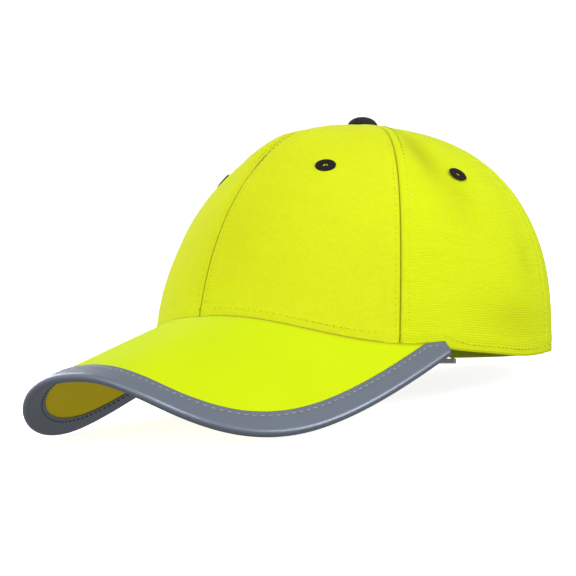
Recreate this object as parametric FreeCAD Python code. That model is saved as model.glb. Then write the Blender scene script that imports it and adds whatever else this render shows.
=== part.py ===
import FreeCAD, Part
import math
import os

# A six-panel peaked bump cap, millimetres. It is worked out about the plane of its lower
# rim: the wearer faces -Y, the wearer's left is +X, +Z is up and the rim is at height 0.
# At the end the whole cap is pitched and lifted, as it rests on a table.

# ---- driving dimensions: outer skin of the crown ----
DEPTH_FRONT = 88.0        # rim centre to the front of the crown
DEPTH_BACK = 105.0        # rim centre to the back
HALF_WIDTH = 88.5
EGG = -0.115              # the plan is narrower across the front than across the back
CROWN_HEIGHT = 110.5
APEX_BACK = 13.5          # the top button sits this far behind the rim centre
BULGE = 0.074             # the sides swell by this share towards the top
RISE = (1.90, -0.42, -0.05)     # exponent of height: mean, front-to-back part, side part
SPREAD = (2.69, 0.34, -0.40)    # exponent of radius: mean, front-to-back part, side part

# ---- cloth, seams and trim of the crown ----
FRONT_SEAM = 65.0         # angle from the front to the seam behind each front panel
BACK_SEAM = 122.0         # angle from the front to the seam before each back panel
PANEL_THICK = 0.9
SEAM_GAP = 0.15
PANEL_TOP = 0.985         # share of the rise at which the panels stop under the button
TAPE_GAP = 0.15
TAPE_THICK = 0.5
TAPE_HALF_WIDTH = 7.0
TAPE_TOP = 0.925
BAND_INSET = 1.75         # sweatband, measured inwards from the outer skin
BAND_THICK = 2.25
BAND_HEIGHT = 32.0
BAND_END = 140.0
EYELET_HEIGHT = 0.744     # share of the crown height
EYELET_FRONT = 36.1       # angle of the eyelet in each front panel
EYELET_SIDE = 91.5
EYELET_RADIUS = 4.75
EYELET_BORE = 1.6
EYELET_HOLE = 2.15
EYELET_FLANGE = 3.6       # radius of the flat part of the flange
EYELET_CROWN = 2.4        # radius at which the flange falls away to the bore
EYELET_LIFT = 0.18        # clearance under the outer flange
EYELET_THICK = 0.75
EYELET_LIP = 0.45         # height of the flange at the bore, and of the inner flange
DRILL_LENGTH = 30.0       # reaches well through the wall at both sides
BUTTON_RADIUS = 7.2
BUTTON_HEIGHT = 5.0
BUTTON_BASE = 0.2         # lower edge of the button above the crown's top
BUTTON_SKIN = 0.8
BUTTON_STEM = 1.5
BUTTON_FIT = 0.05         # play between the core and the parts round it
WASHER_RADIUS = 8.0
WASHER_THICK = 0.7
WASHER_GAP = 1.0          # from the panels' inner face down to the washer's far face

# ---- peak ----
PEAK_SEAT = 12.9          # height of the peak's top face at the front of the crown
PEAK_FALL = 0.43          # slope down towards the tip
ARCH_SPAN = 88.0          # half width at which the three side drops are measured
ARCH_DROP = 55.0          # side drop in line with the front of the crown
ARCH_GAIN = 0.294         # extra side drop for each mm further out
ARCH_TEMPLE = 9.3         # extra side drop at the temples
ARCH_POWER = 2.41
TEMPLE_REACH = 80.0
TEMPLE = 76.6             # angle at which the peak's corners meet the crown
TEMPLE_BLEND = 12.0       # the rim runs level again this much further back
EDGE_LENGTH = 136.3       # front of the edge to its corners
EDGE_FLARE = 3.2          # the corners stand out from the crown
EDGE_SIDE_POWER = 0.70
EDGE_FRONT_POWER = 0.867
COVER_THICK = 0.6
BOARD_THICK = 1.6
LAYER_GAP = 0.1
TRIM_THICK = 0.5
TRIM_WIDTH = 11.3
TRIM_CORNER_TOP = 7.2     # width of its top leaf at the peak's corners
TRIM_TAPER_TOP = 0.5      # gain in width for each mm away from a corner
TRIM_CORNER_UNDER = 4.4   # the same for its bottom leaf, which meets the crown sooner
TRIM_TAPER_UNDER = 0.33
COVER_EDGE = 1.8          # covers stop this far inside the edge, within the fold
BOARD_EDGE = 3.2
ROOT_GAP = 0.2            # between the crown's skin and the peak's inner edge
ROOT_FLARE = 0.1          # the crown widens this much for each mm further down
EDGE_STEP = 0.5           # step used to measure the slope of the top face at its edge
LAYER_COLUMNS = 41
TRIM_COLUMNS = 61
PEAK_STACK = 2 * COVER_THICK + BOARD_THICK + 2 * LAYER_GAP

# ---- opening and closure at the back ----
OPENING_HALF = 50.0
OPENING_HEIGHT = 50.0
OPENING_TRIM = 8.0
OPENING_START = 60.0      # the cutting prism runs from here, behind the rim centre
OPENING_REACH = 80.0
TAPE_CLEAR = 0.02         # share of the height between a hem and the tape above it
BAND_CLEAR = 0.005        # the same for the sweatband
TURN_IN = 1.0             # folded tape lies flat from this far inside its fold
STRAP_LOW = 6.5
STRAP_HIGH = 26.5
STRAP_LEVEL = 0.14        # share of the height at which the closure follows the crown
STRAP_THICK = 1.1
STRAP_INSET = 2.1
STRAP_START = 142.0
LOOP_INSET = 1.3
LOOP_THICK = 0.7
HOOK_INSET = 0.1
HOOK_THICK = 0.9
FLAP_INSET = -1.1
FLAP_TIP = 162.0
RING_NEAR = 192.0
RING_FAR = 199.5
TAB_RETURN = 203.0
TAB_START = 218.0
FLAP_ROOT = RING_NEAR - 1.7
HOOK_SPAN = (FLAP_TIP + 1.5, RING_NEAR - 8.0)
LOOP_SPAN = (STRAP_START + 16.0, RING_NEAR - 6.0)
BAR_RADIUS = 0.9
BAR_INSET = (STRAP_INSET + FLAP_INSET + STRAP_THICK) / 2
BEND_START = 0.6          # degrees before a bar at which the webbing begins to turn round it
RAIL_HEIGHT = 2.6
RAIL_DEPTH = 2.6
RAIL_OVERHANG = 1.5
RAIL_FILLET = 0.7
RAIL_GAP = 0.4            # between the webbing's edges and the rails
HINGE_GAP = 0.2           # degrees between the turned webbing and the flap
PATCH_MARGIN = 1.5        # hook and loop patches are this much narrower at each edge

# ---- hard liner and its foam ----
SHELL_INSET = 4.6
SHELL_THICK = 1.8
SHELL_RIM = 0.326
SHELL_BACK_RIM = 0.52     # the liner is cut higher above the opening
SHELL_SWEEP_START = 112.0
SHELL_SWEEP = 40.0        # degrees over which its rim climbs
SHELL_TOP = 0.97
VENT_RADIUS = 4.5
VENTS_PER_ROW = 10
VENT_STEP = 360.0 / VENTS_PER_ROW
VENT_ROWS = ((0.62, VENT_STEP / 2), (0.80, VENT_STEP))    # height share, first angle
PAD_INSET = 6.7
PAD_THICK = 6.0
DOT_RADIUS = 9.0
DOT_TURN = 9.0            # half angle and half height share of the sheet a dot is cut from
DOT_RISE = 0.11
LOOP_DOT = (1.1, 1.9)     # insets of the outer and inner face
HOOK_DOT = (2.2, 4.4)

# ---- how it rests on a table ----
REST_PITCH = 11.69
REST_LIFT = 18.03
REST_FORWARD = 22.2

AXIS = FreeCAD.Vector(0, 0, 1)
ORIGIN = FreeCAD.Vector(0, 0, 0)


def cosd(angle):
    return math.cos(math.radians(angle))


def sind(angle):
    return math.sin(math.radians(angle))


def spaced(start, stop, count):
    """Evenly spaced numbers, both ends included."""
    return [start + (stop - start) * i / (count - 1) for i in range(count)]


def plan(t):
    """Outline of the rim at angle t from the front, positive to the wearer's left."""
    depth = (DEPTH_FRONT + DEPTH_BACK) / 2 + (DEPTH_FRONT - DEPTH_BACK) / 2 * cosd(t)
    return HALF_WIDTH * sind(t) * (1 + EGG * cosd(t)), -depth * cosd(t)


def shrink(t, h):
    """Share of the rim's radius that is left at height share h."""
    front, side = cosd(t), sind(t) ** 2
    rise = RISE[0] + RISE[1] * front + RISE[2] * side
    spread = SPREAD[0] + SPREAD[1] * front + SPREAD[2] * side
    return (1 - min(max(h, 0.0), 1.0) ** rise) ** (1 / spread) * (1 + BULGE * h)


def skin(t, h):
    """Point of the crown's outer skin."""
    x, y = plan(t)
    k = shrink(t, h)
    return FreeCAD.Vector(x * k, y * k + APEX_BACK * h * h, CROWN_HEIGHT * h)


def inside(t, h, inset):
    """Point this far inwards from the outer skin, along its normal."""
    across = skin(t + 0.1, h) - skin(t - 0.1, h)
    share = math.asin(min(max(h, 0.0), 1.0))
    low, high = max(share - 1e-3, 0.0), min(share + 1e-3, math.pi / 2)
    up = skin(t, math.sin(high)) - skin(t, math.sin(low))
    normal = across.cross(up)
    normal.normalize()
    return skin(t, h) - normal * inset


def outward(t, h):
    """Unit normal of the outer skin."""
    return inside(t, h, -1.0) - skin(t, h)


def closed_sheet(outer, inner):
    """Solid between two grids of points, from six faces that share their edges."""
    surfaces = []
    for grid in (outer, inner):
        surface = Part.BSplineSurface()
        surface.interpolate(grid)
        surfaces.append(surface)
    faces = [surface.toShape() for surface in surfaces]
    top, bottom = surfaces
    for side in (0, 1):
        faces.append(Part.makeRuledSurface(top.uIso(side).toShape(), bottom.uIso(side).toShape()))
        faces.append(Part.makeRuledSurface(top.vIso(side).toShape(), bottom.vIso(side).toShape()))
    return sewn(faces)


def folded_sheet(outer, inner):
    """Solid between two grids with sharp bends: smooth along its length, straight strips across."""
    lengthwise = []
    for grid in (outer, inner):
        edges = []
        for points in zip(*grid):
            curve = Part.BSplineCurve()
            curve.interpolate(list(points))
            edges.append(curve.toShape())
        lengthwise.append(edges)
    faces = []
    for edges in lengthwise:
        faces += [Part.makeRuledSurface(a, b) for a, b in zip(edges, edges[1:])]
    for end in (0, -1):
        faces.append(Part.makeRuledSurface(lengthwise[0][end], lengthwise[1][end]))
        rims = [[Part.makeLine(a, b) for a, b in zip(grid[end], grid[end][1:])] for grid in (outer, inner)]
        faces += [Part.makeRuledSurface(a, b) for a, b in zip(*rims)]
    return sewn(faces)


def sewn(faces):
    shell = Part.Shell(faces)
    shell.sewShape()
    solid = Part.Solid(shell)
    if solid.Volume < 0:
        solid.reverse()
    return solid


def crown_sheet(angles, heights, insets):
    """Sheet that follows the crown; heights(t) gives the shares of height up one column."""
    outer, inner = [[[inside(t, h, inset) for h in heights(t)] for t in angles] for inset in insets]
    return closed_sheet(outer, inner)


def climb(bottom, top, rows):
    """Height shares whose spacing closes up towards the flat top of the crown."""
    first, last = math.degrees(math.asin(bottom)), 90.0 * top
    return [sind(angle) for angle in spaced(first, last, rows)]


def peak_height(x, y):
    """Height of the peak's top face: it falls forwards and arches down to both sides."""
    out = -y - DEPTH_FRONT
    temple = min(max(-out / TEMPLE_REACH, 0.0), 1.0) ** 2
    drop = ARCH_DROP + ARCH_GAIN * out + ARCH_TEMPLE * temple
    return PEAK_SEAT - PEAK_FALL * out - drop * abs(x / ARCH_SPAN) ** ARCH_POWER


def peak_point(x, y, depth=0.0):
    """Point this deep below the peak's top face, along its normal."""
    step = 0.05
    slope_x = (peak_height(x + step, y) - peak_height(x - step, y)) / (2 * step)
    slope_y = (peak_height(x, y + step) - peak_height(x, y - step)) / (2 * step)
    normal = FreeCAD.Vector(-slope_x, -slope_y, 1)
    normal.normalize()
    return FreeCAD.Vector(x, y, peak_height(x, y)) - normal * depth, normal


def seat(t):
    """Height share at which the crown meets the peak, level with the rim behind the temples."""
    angle = max(min(t, TEMPLE), -TEMPLE)
    h = 0.05
    for _ in range(30):
        point = skin(angle, h)
        h += 0.6 * (peak_height(point.x, point.y) / CROWN_HEIGHT - h)
    return h * rim_fade(t)


def rim_fade(t):
    """1 along the peak, falling to 0 just behind its corners."""
    return max(1 - max(abs(t) - TEMPLE, 0.0) / TEMPLE_BLEND, 0.0) ** 2


def hem(t):
    """Height share of the panels' lower edge, which hides the inner edge of the peak."""
    return max(seat(t) - PEAK_STACK / CROWN_HEIGHT * rim_fade(t), 0.0)


# ---- crown panels ----
def panel(start, stop):
    angles = spaced(start, stop, 15)
    trimmed = [angles[0] + math.degrees(SEAM_GAP / HALF_WIDTH)]
    trimmed += angles[1:-1]
    trimmed.append(angles[-1] - math.degrees(SEAM_GAP / HALF_WIDTH))
    return crown_sheet(trimmed, lambda t: climb(hem(t), PANEL_TOP, 17), (0.0, PANEL_THICK))


def drill(t, h, radius):
    """Cylinder across the crown wall, for cutting a hole or a round patch."""
    normal = outward(t, h)
    return Part.makeCylinder(radius, DRILL_LENGTH, skin(t, h) - normal * (DRILL_LENGTH / 2), normal)


EYELETS = {
    "front": EYELET_FRONT,
    "side": EYELET_SIDE,
    "back": (BACK_SEAM + 180.0) / 2,
}
SPANS = {"front": (0.0, FRONT_SEAM), "side": (FRONT_SEAM, BACK_SEAM), "back": (BACK_SEAM, 180.0)}
SIDES = {"left": 1, "right": -1}


def opening_tool(reach):
    """Prism of the arched opening, this much larger all round."""
    arch = Part.Ellipse(ORIGIN, OPENING_HALF + reach, OPENING_HEIGHT + reach)
    disc = Part.Face(Part.Wire(arch.toShape()))
    disc.rotate(ORIGIN, FreeCAD.Vector(1, 0, 0), 90)
    disc.translate(FreeCAD.Vector(0, OPENING_START, 0))
    return disc.extrude(FreeCAD.Vector(0, OPENING_REACH, 0))


def eyelet(t):
    """Embroidered ring: a flange outside, a thin tube through the cloth, a flange inside."""
    face, back = EYELET_LIFT, -PANEL_THICK - EYELET_LIFT
    top = face + EYELET_THICK
    tube = EYELET_HOLE - LAYER_GAP
    profile = [
        (EYELET_BORE, face + EYELET_LIP),
        (EYELET_CROWN, top),
        (EYELET_FLANGE, top),
        (EYELET_RADIUS, face),
        (tube, face),
        (tube, back),
        (EYELET_FLANGE, back),
        (EYELET_FLANGE, back - EYELET_LIP),
        (EYELET_BORE, back - EYELET_LIP),
        (EYELET_BORE, face + EYELET_LIP),
    ]
    wire = Part.makePolygon([FreeCAD.Vector(r, 0, z) for r, z in profile])
    ring = Part.Face(wire).revolve(ORIGIN, AXIS, 360)
    ring.Placement = FreeCAD.Placement(skin(t, EYELET_HEIGHT),
                                       FreeCAD.Rotation(AXIS, outward(t, EYELET_HEIGHT)))
    return ring


# ---- tapes over the seams, inside the crown ----
def seam_tape(t, bottom):
    insets = [PANEL_THICK + TAPE_GAP, PANEL_THICK + TAPE_GAP + TAPE_THICK]
    grids = []
    for inset in insets:
        columns = []
        for across in (-1.0, -0.5, 0.0, 0.5, 1.0):
            column = []
            for h in climb(bottom, TAPE_TOP, 13):
                middle = skin(t, h)
                radius = math.hypot(middle.x, middle.y - APEX_BACK * h * h)
                turn = math.degrees(across * TAPE_HALF_WIDTH / radius)
                column.append(inside(t + turn, h, inset))
            columns.append(column)
        grids.append(columns)
    return closed_sheet(*grids)


# ---- button ----
def turned(points):
    """Solid of revolution about the apex; radii and heights above the crown's top."""
    wire = Part.makePolygon([FreeCAD.Vector(r, 0, z) for r, z in points + points[:1]])
    body = Part.Face(wire).revolve(ORIGIN, AXIS, 360)
    body.translate(FreeCAD.Vector(0, APEX_BACK, CROWN_HEIGHT))
    return body


def dome(radius, height, base):
    """Profile points of a low dome, from its rim up to its middle."""
    return [(radius * cosd(a), base + height * sind(a)) for a in spaced(0, 90, 9)]


def button_parts():
    rise = BUTTON_HEIGHT - BUTTON_BASE
    outer = dome(BUTTON_RADIUS, rise, BUTTON_BASE)
    hollow = dome(BUTTON_RADIUS - BUTTON_SKIN, rise - BUTTON_SKIN, BUTTON_BASE)
    cover = turned(outer + hollow[::-1])
    play = BUTTON_SKIN + BUTTON_FIT
    core_dome = dome(BUTTON_RADIUS - play, rise - play, BUTTON_BASE)
    low = -PANEL_THICK - WASHER_GAP
    core = turned(core_dome + [(0, low), (BUTTON_STEM, low), (BUTTON_STEM, BUTTON_BASE)])
    bore = BUTTON_STEM + BUTTON_FIT
    washer = turned([(bore, low), (WASHER_RADIUS, low), (WASHER_RADIUS, low + WASHER_THICK),
                     (bore, low + WASHER_THICK)])
    return {"button_cover": cover, "button_core": core, "button_washer": washer}


# ---- peak ----
def edge_point(u):
    """Outer edge of the peak in plan; u runs from -90 to 90 degrees, 0 at the tip."""
    x = HALF_WIDTH * sind(TEMPLE) + EDGE_FLARE
    x *= math.copysign(abs(sind(u)) ** EDGE_SIDE_POWER, u)
    y = -DEPTH_FRONT * cosd(TEMPLE) - EDGE_LENGTH * max(cosd(u), 0.0) ** EDGE_FRONT_POWER
    return x, y


def even_edge(count):
    """Points evenly spaced along the edge, with the inward direction and the run to a corner."""
    fine = [edge_point(math.copysign(abs(s) ** 1.5, s) * 90) for s in spaced(-1, 1, 1201)]
    run = [0.0]
    for (x0, y0), (x1, y1) in zip(fine, fine[1:]):
        run.append(run[-1] + math.hypot(x1 - x0, y1 - y0))
    points, j = [], 0
    for target in spaced(0, run[-1], count):
        while run[j + 1] < target and j < len(run) - 2:
            j += 1
        (x0, y0), (x1, y1) = fine[j], fine[j + 1]
        k = (target - run[j]) / (run[j + 1] - run[j])
        length = math.hypot(x1 - x0, y1 - y0)
        inward = (-(y1 - y0) / length, (x1 - x0) / length)
        points.append((x0 + k * (x1 - x0), y0 + k * (y1 - y0), inward, min(target, run[-1] - target)))
    return points


def peak_layer(depth, thick, edge_inset, reach):
    """One layer of the peak, from the crown's skin out to just inside the edge.

    reach is the share of the edge that the layer spans; its lower layers stop short."""
    grids = []
    edge = even_edge(LAYER_COLUMNS)
    for level in (depth, depth + thick):
        grid = []
        for share, (x1, y1, inward, _) in zip(spaced(-1, 1, LAYER_COLUMNS), edge):
            if abs(share) > reach:
                continue
            t = share * TEMPLE
            root = skin(t, seat(t))
            away = outward(t, seat(t))
            _, lean = peak_point(root.x, root.y)
            start = root + away * (ROOT_GAP + level * (lean.dot(away) + ROOT_FLARE))
            end_x = x1 + inward[0] * edge_inset
            end_y = y1 + inward[1] * edge_inset
            row = [peak_point(start.x + k * (end_x - start.x), start.y + k * (end_y - start.y), level)[0]
                   for k in spaced(0, 1, 9)]
            grid.append(row)
        grids.append(grid)
    return closed_sheet(*grids)


def from_edge(x, y, inward, distance):
    """Point and normal of the top face this far in from an edge point, measured on the slope."""
    rise = peak_height(x + inward[0] * EDGE_STEP, y + inward[1] * EDGE_STEP) - peak_height(x, y)
    flat = distance / math.hypot(1, rise / EDGE_STEP)
    return peak_point(x + inward[0] * flat, y + inward[1] * flat)


def peak_trim():
    """Tape folded over the edge: top leaf, half-round fold, bottom leaf."""
    middle = PEAK_STACK / 2
    grids = []
    for radius in (middle + LAYER_GAP + TRIM_THICK, middle + LAYER_GAP):
        centre_in = middle + LAYER_GAP + TRIM_THICK
        grid = []
        for x, y, inward, run in even_edge(TRIM_COLUMNS):
            top_width = min(TRIM_WIDTH, TRIM_CORNER_TOP + TRIM_TAPER_TOP * run)
            under_width = min(TRIM_WIDTH, TRIM_CORNER_UNDER + TRIM_TAPER_UNDER * run)
            near, normal = from_edge(x, y, inward, centre_in)
            tangent = from_edge(x, y, inward, centre_in + EDGE_STEP)[0] - near
            tangent.normalize()
            centre = near - normal * middle
            column = []
            for distance in spaced(top_width, centre_in + TURN_IN, 4):
                point, normal_here = from_edge(x, y, inward, distance)
                column.append(point + normal_here * (radius - middle))
            for turn in spaced(90, -90, 9):
                column.append(centre + normal * (radius * sind(turn)) - tangent * (radius * cosd(turn)))
            for distance in spaced(centre_in + TURN_IN, under_width, 4):
                point, normal_here = from_edge(x, y, inward, distance)
                column.append(point - normal_here * (radius + middle))
            grid.append(column)
        grids.append(grid)
    return folded_sheet(*grids)


# ---- opening at the back ----
def angle_at(x, h):
    """Angle, between the side and the back, at which the skin lies this far from the middle."""
    low, high = 90.0, 180.0
    for _ in range(40):
        middle = (low + high) / 2
        if skin(middle, h).x > abs(x):
            low = middle
        else:
            high = middle
    return math.copysign(low, x) if x else 180.0


def by_opening(turn, reach, inset):
    """Point this far outside the arch, at a turn round it, and this deep in the crown's wall."""
    x = (OPENING_HALF + reach) * cosd(turn)
    h = (OPENING_HEIGHT + reach) * sind(turn) / CROWN_HEIGHT
    return inside(angle_at(x, h), h, inset)


def opening_trim():
    """Folded tape that binds the arched edge."""
    half = PANEL_THICK / 2
    grids = []
    for radius in (half + LAYER_GAP + TRIM_THICK, half + LAYER_GAP):
        grid = []
        for turn in spaced(0.5, 179.5, 41):
            column = [by_opening(turn, reach, half - radius) for reach in spaced(OPENING_TRIM, TURN_IN, 4)]
            for fold in spaced(80, -80, 7):
                column.append(by_opening(turn, -radius * cosd(fold), half - radius * sind(fold)))
            column += [by_opening(turn, reach, half + radius) for reach in spaced(TURN_IN, OPENING_TRIM, 4)]
            grid.append(column)
        grids.append(grid)
    return folded_sheet(*grids)


# ---- closure ----
def band(t, inset, z):
    """Point of the closure, which follows the crown's plan with upright sides."""
    point = skin(t, STRAP_LEVEL)
    flat = outward(t, STRAP_LEVEL)
    flat.z = 0
    flat.normalize()
    point.z = z
    return point - flat * inset


def upright(outline):
    """Solid of one plan outline between the strap's lower and upper edges."""
    low = [FreeCAD.Vector(p.x, p.y, STRAP_LOW) for p in outline]
    wire = Part.makePolygon(low + low[:1])
    return Part.Face(wire).extrude(AXIS * (STRAP_HIGH - STRAP_LOW))


def ribbon(start, stop, inset, thick, margin=0.0):
    """Upright ribbon along the closure, with an optional margin at both edges."""
    angles = spaced(start, stop, 17)
    outer, inner = [[[band(t, level, z) for z in spaced(STRAP_LOW + margin, STRAP_HIGH - margin, 3)]
                     for t in angles] for level in (inset, inset + thick)]
    return closed_sheet(outer, inner)


def bar_centre(t):
    """A ring bar stands halfway between the webbing's two runs."""
    return band(t, BAR_INSET, 0)


def wrap(bar_angle, side, start, stop):
    """Webbing that runs up to a bar, round it and back outside it.

    side is +1 where the webbing arrives from lower angles and -1 from higher ones."""
    centre = bar_centre(bar_angle)
    normal = band(bar_angle, 0, 0) - band(bar_angle, 1, 0)
    along = AXIS.cross(normal) * side
    bend = bar_angle - side * BEND_START
    levels = (STRAP_INSET, STRAP_INSET + STRAP_THICK, FLAP_INSET + STRAP_THICK, FLAP_INSET)
    near_in, far_in = [[band(t, level, 0) for t in spaced(start, bend, 7)] for level in levels[:2]]
    back_near, back_far = [[band(t, level, 0) for t in spaced(bend, stop, 3)] for level in levels[2:]]
    arcs = []
    for radius in (STRAP_INSET - BAR_INSET, STRAP_INSET - BAR_INSET + STRAP_THICK):
        arcs.append([centre - normal * (radius * cosd(a)) + along * (radius * sind(a))
                     for a in spaced(10, 170, 9)])
    outline = near_in + arcs[0] + back_near + back_far[::-1] + arcs[1][::-1] + far_in[::-1]
    return upright(outline)


def strap_ring():
    """Moulded rectangular ring: two round bars and two rails."""
    near, far = bar_centre(RING_NEAR), bar_centre(RING_FAR)
    low, high = STRAP_LOW - RAIL_GAP - RAIL_HEIGHT, STRAP_HIGH + RAIL_GAP
    along = far - near
    span = along.Length
    ring = None
    for end in (near, far):
        start = FreeCAD.Vector(end.x, end.y, low + RAIL_HEIGHT / 2)
        bar = Part.makeCylinder(BAR_RADIUS, high - low, start, AXIS)
        ring = bar if ring is None else ring.fuse(bar)
    angle = math.degrees(math.atan2(along.y, along.x))
    for level in (low, high):
        corner = FreeCAD.Vector(-RAIL_OVERHANG, -RAIL_DEPTH / 2, level)
        rail = Part.makeBox(span + 2 * RAIL_OVERHANG, RAIL_DEPTH, RAIL_HEIGHT, corner)
        rail = rail.makeFillet(RAIL_FILLET, [e for e in rail.Edges if e.Length > span])
        rail.rotate(ORIGIN, AXIS, angle)
        rail.translate(FreeCAD.Vector(near.x, near.y, 0))
        ring = ring.fuse(rail)
    return ring.removeSplitter()


# ---- hard liner ----
def liner_rim(t):
    """Height share of the liner's lower edge, which sweeps up over the back opening."""
    share = min(max((abs(t) - SHELL_SWEEP_START) / SHELL_SWEEP, 0.0), 1.0)
    return SHELL_RIM + (SHELL_BACK_RIM - SHELL_RIM) * share * share * (3 - 2 * share)


def liner():
    """Two half shells joined along the middle plane, with round vents."""
    halves = []
    for side in (1, -1):
        angles = [side * a for a in spaced(0, 180, 25)]
        halves.append(crown_sheet(angles, lambda t: climb(liner_rim(t), SHELL_TOP, 13),
                                  (SHELL_INSET, SHELL_INSET + SHELL_THICK)))
    shell = halves[0].fuse(halves[1])
    for h, first in VENT_ROWS:
        for t in spaced(first, first + 360.0 - VENT_STEP, VENTS_PER_ROW):
            shell = shell.cut(drill(t, h, VENT_RADIUS))
    return shell


PADS = {
    "pad_front": (-42.0, 42.0, 0.37, 0.56),
    "pad_left": (60.0, 112.0, 0.37, 0.56),
    "pad_right": (-112.0, -60.0, 0.37, 0.56),
    "pad_back": (150.0, 210.0, 0.56, 0.72),
    "pad_crown_front": (-52.0, 52.0, 0.86, 0.985),
    "pad_crown_left": (64.0, 172.0, 0.86, 0.985),
    "pad_crown_right": (-172.0, -64.0, 0.86, 0.985),
}


def pad(start, stop, low, high):
    top = math.degrees(math.asin(high)) / 90.0
    return crown_sheet(spaced(start, stop, 11), lambda t: climb(low, top, 7),
                       (PAD_INSET, PAD_INSET + PAD_THICK))


DOTS = ((32.5, 0.60), (-32.5, 0.60), (150.0, 0.62), (-150.0, 0.62))


def dots(insets):
    """Round hook-and-loop patches between the liner and the crown."""
    solids = []
    for t, h in DOTS:
        angles, shares = spaced(t - DOT_TURN, t + DOT_TURN, 5), spaced(h - DOT_RISE, h + DOT_RISE, 5)
        sheet = crown_sheet(angles, lambda _: shares, insets)
        solids.append(sheet.common(drill(t, h, DOT_RADIUS)).Solids[0])
    return Part.makeCompound(solids)


# ---- build, rest and export ----
def build():
    nodes = {}
    for side_name, side in SIDES.items():
        for place, (start, stop) in SPANS.items():
            cloth = panel(*sorted((side * start, side * stop)))
            cloth = cloth.cut(drill(side * EYELETS[place], EYELET_HEIGHT, EYELET_HOLE))
            if place == "back":
                cloth = cloth.cut(opening_tool(0.0))
            nodes[f"panel_{place}_{side_name}"] = cloth
            nodes[f"eyelet_{place}_{side_name}"] = eyelet(side * EYELETS[place])
        nodes[f"seam_tape_front_{side_name}"] = seam_tape(side * FRONT_SEAM, hem(FRONT_SEAM) + TAPE_CLEAR)
        nodes[f"seam_tape_back_{side_name}"] = seam_tape(side * BACK_SEAM, TAPE_CLEAR)
    nodes["seam_tape_front"] = seam_tape(0.0, hem(0.0) + TAPE_CLEAR)
    nodes["seam_tape_rear"] = seam_tape(180.0, (OPENING_HEIGHT + OPENING_TRIM + 2) / CROWN_HEIGHT)
    nodes.update(button_parts())
    nodes["sweatband"] = crown_sheet(
        spaced(-BAND_END, BAND_END, 71),
        lambda t: spaced(hem(t) + BAND_CLEAR, hem(t) + BAND_HEIGHT / CROWN_HEIGHT, 5),
        (BAND_INSET, BAND_INSET + BAND_THICK))
    nodes["peak_top_cover"] = peak_layer(0.0, COVER_THICK, COVER_EDGE, 1.0)
    nodes["peak_board"] = peak_layer(COVER_THICK + LAYER_GAP, BOARD_THICK, BOARD_EDGE, 0.93)
    nodes["peak_under_cover"] = peak_layer(PEAK_STACK - COVER_THICK, COVER_THICK, COVER_EDGE, 0.97)
    nodes["peak_trim"] = peak_trim()
    nodes["opening_trim"] = opening_trim()
    nodes["adjust_strap"] = wrap(RING_NEAR, 1, STRAP_START, FLAP_ROOT + HINGE_GAP)
    nodes["strap_flap"] = ribbon(FLAP_TIP, FLAP_ROOT, FLAP_INSET, STRAP_THICK)
    nodes["hook_patch"] = ribbon(*HOOK_SPAN, HOOK_INSET, HOOK_THICK, PATCH_MARGIN)
    nodes["loop_patch"] = ribbon(*LOOP_SPAN, LOOP_INSET, LOOP_THICK, PATCH_MARGIN)
    nodes["ring_tab"] = wrap(RING_FAR, -1, TAB_START, TAB_RETURN)
    nodes["strap_ring"] = strap_ring()
    nodes["liner_shell"] = liner()
    for name, limits in PADS.items():
        nodes[name] = pad(*limits)
    nodes["hook_dots"] = dots(HOOK_DOT)
    nodes["loop_dots"] = dots(LOOP_DOT)
    return nodes


def rest(shape):
    """Pitch the cap to stand on its back rim and peak corners, and centre its box."""
    shape.rotate(ORIGIN, FreeCAD.Vector(1, 0, 0), -REST_PITCH)
    shape.translate(FreeCAD.Vector(0, REST_FORWARD, REST_LIFT))
    return shape


os.makedirs("parts", exist_ok=True)
box = FreeCAD.BoundBox()
for name, shape in build().items():
    rest(shape)
    shape.exportStep(f"parts/{name}.step")
    box.add(shape.BoundBox)
    print(name, len(shape.Solids), shape.isValid(), round(shape.Volume))
print("box", box)
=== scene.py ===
import math

import bpy
import numpy as np
from mathutils import Matrix, Vector


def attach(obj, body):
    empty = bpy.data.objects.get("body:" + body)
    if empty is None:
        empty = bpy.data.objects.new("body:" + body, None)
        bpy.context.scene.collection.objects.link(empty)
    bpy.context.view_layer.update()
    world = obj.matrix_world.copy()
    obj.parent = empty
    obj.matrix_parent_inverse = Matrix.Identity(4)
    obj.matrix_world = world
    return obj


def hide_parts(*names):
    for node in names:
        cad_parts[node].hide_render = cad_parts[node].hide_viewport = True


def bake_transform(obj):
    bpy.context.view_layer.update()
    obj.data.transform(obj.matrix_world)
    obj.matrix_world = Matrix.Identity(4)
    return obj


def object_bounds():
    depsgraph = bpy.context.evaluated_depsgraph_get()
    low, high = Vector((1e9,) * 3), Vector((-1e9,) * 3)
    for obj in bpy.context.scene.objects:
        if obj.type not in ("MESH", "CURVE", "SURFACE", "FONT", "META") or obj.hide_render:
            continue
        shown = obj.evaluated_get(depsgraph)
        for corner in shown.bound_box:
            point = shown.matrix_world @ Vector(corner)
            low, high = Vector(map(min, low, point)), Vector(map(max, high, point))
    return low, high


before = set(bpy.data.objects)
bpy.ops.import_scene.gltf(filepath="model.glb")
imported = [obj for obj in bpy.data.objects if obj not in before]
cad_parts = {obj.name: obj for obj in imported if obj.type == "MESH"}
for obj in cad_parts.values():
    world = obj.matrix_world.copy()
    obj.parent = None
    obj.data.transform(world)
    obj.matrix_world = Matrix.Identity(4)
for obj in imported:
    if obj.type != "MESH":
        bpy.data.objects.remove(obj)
cad_low, cad_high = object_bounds()


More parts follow.
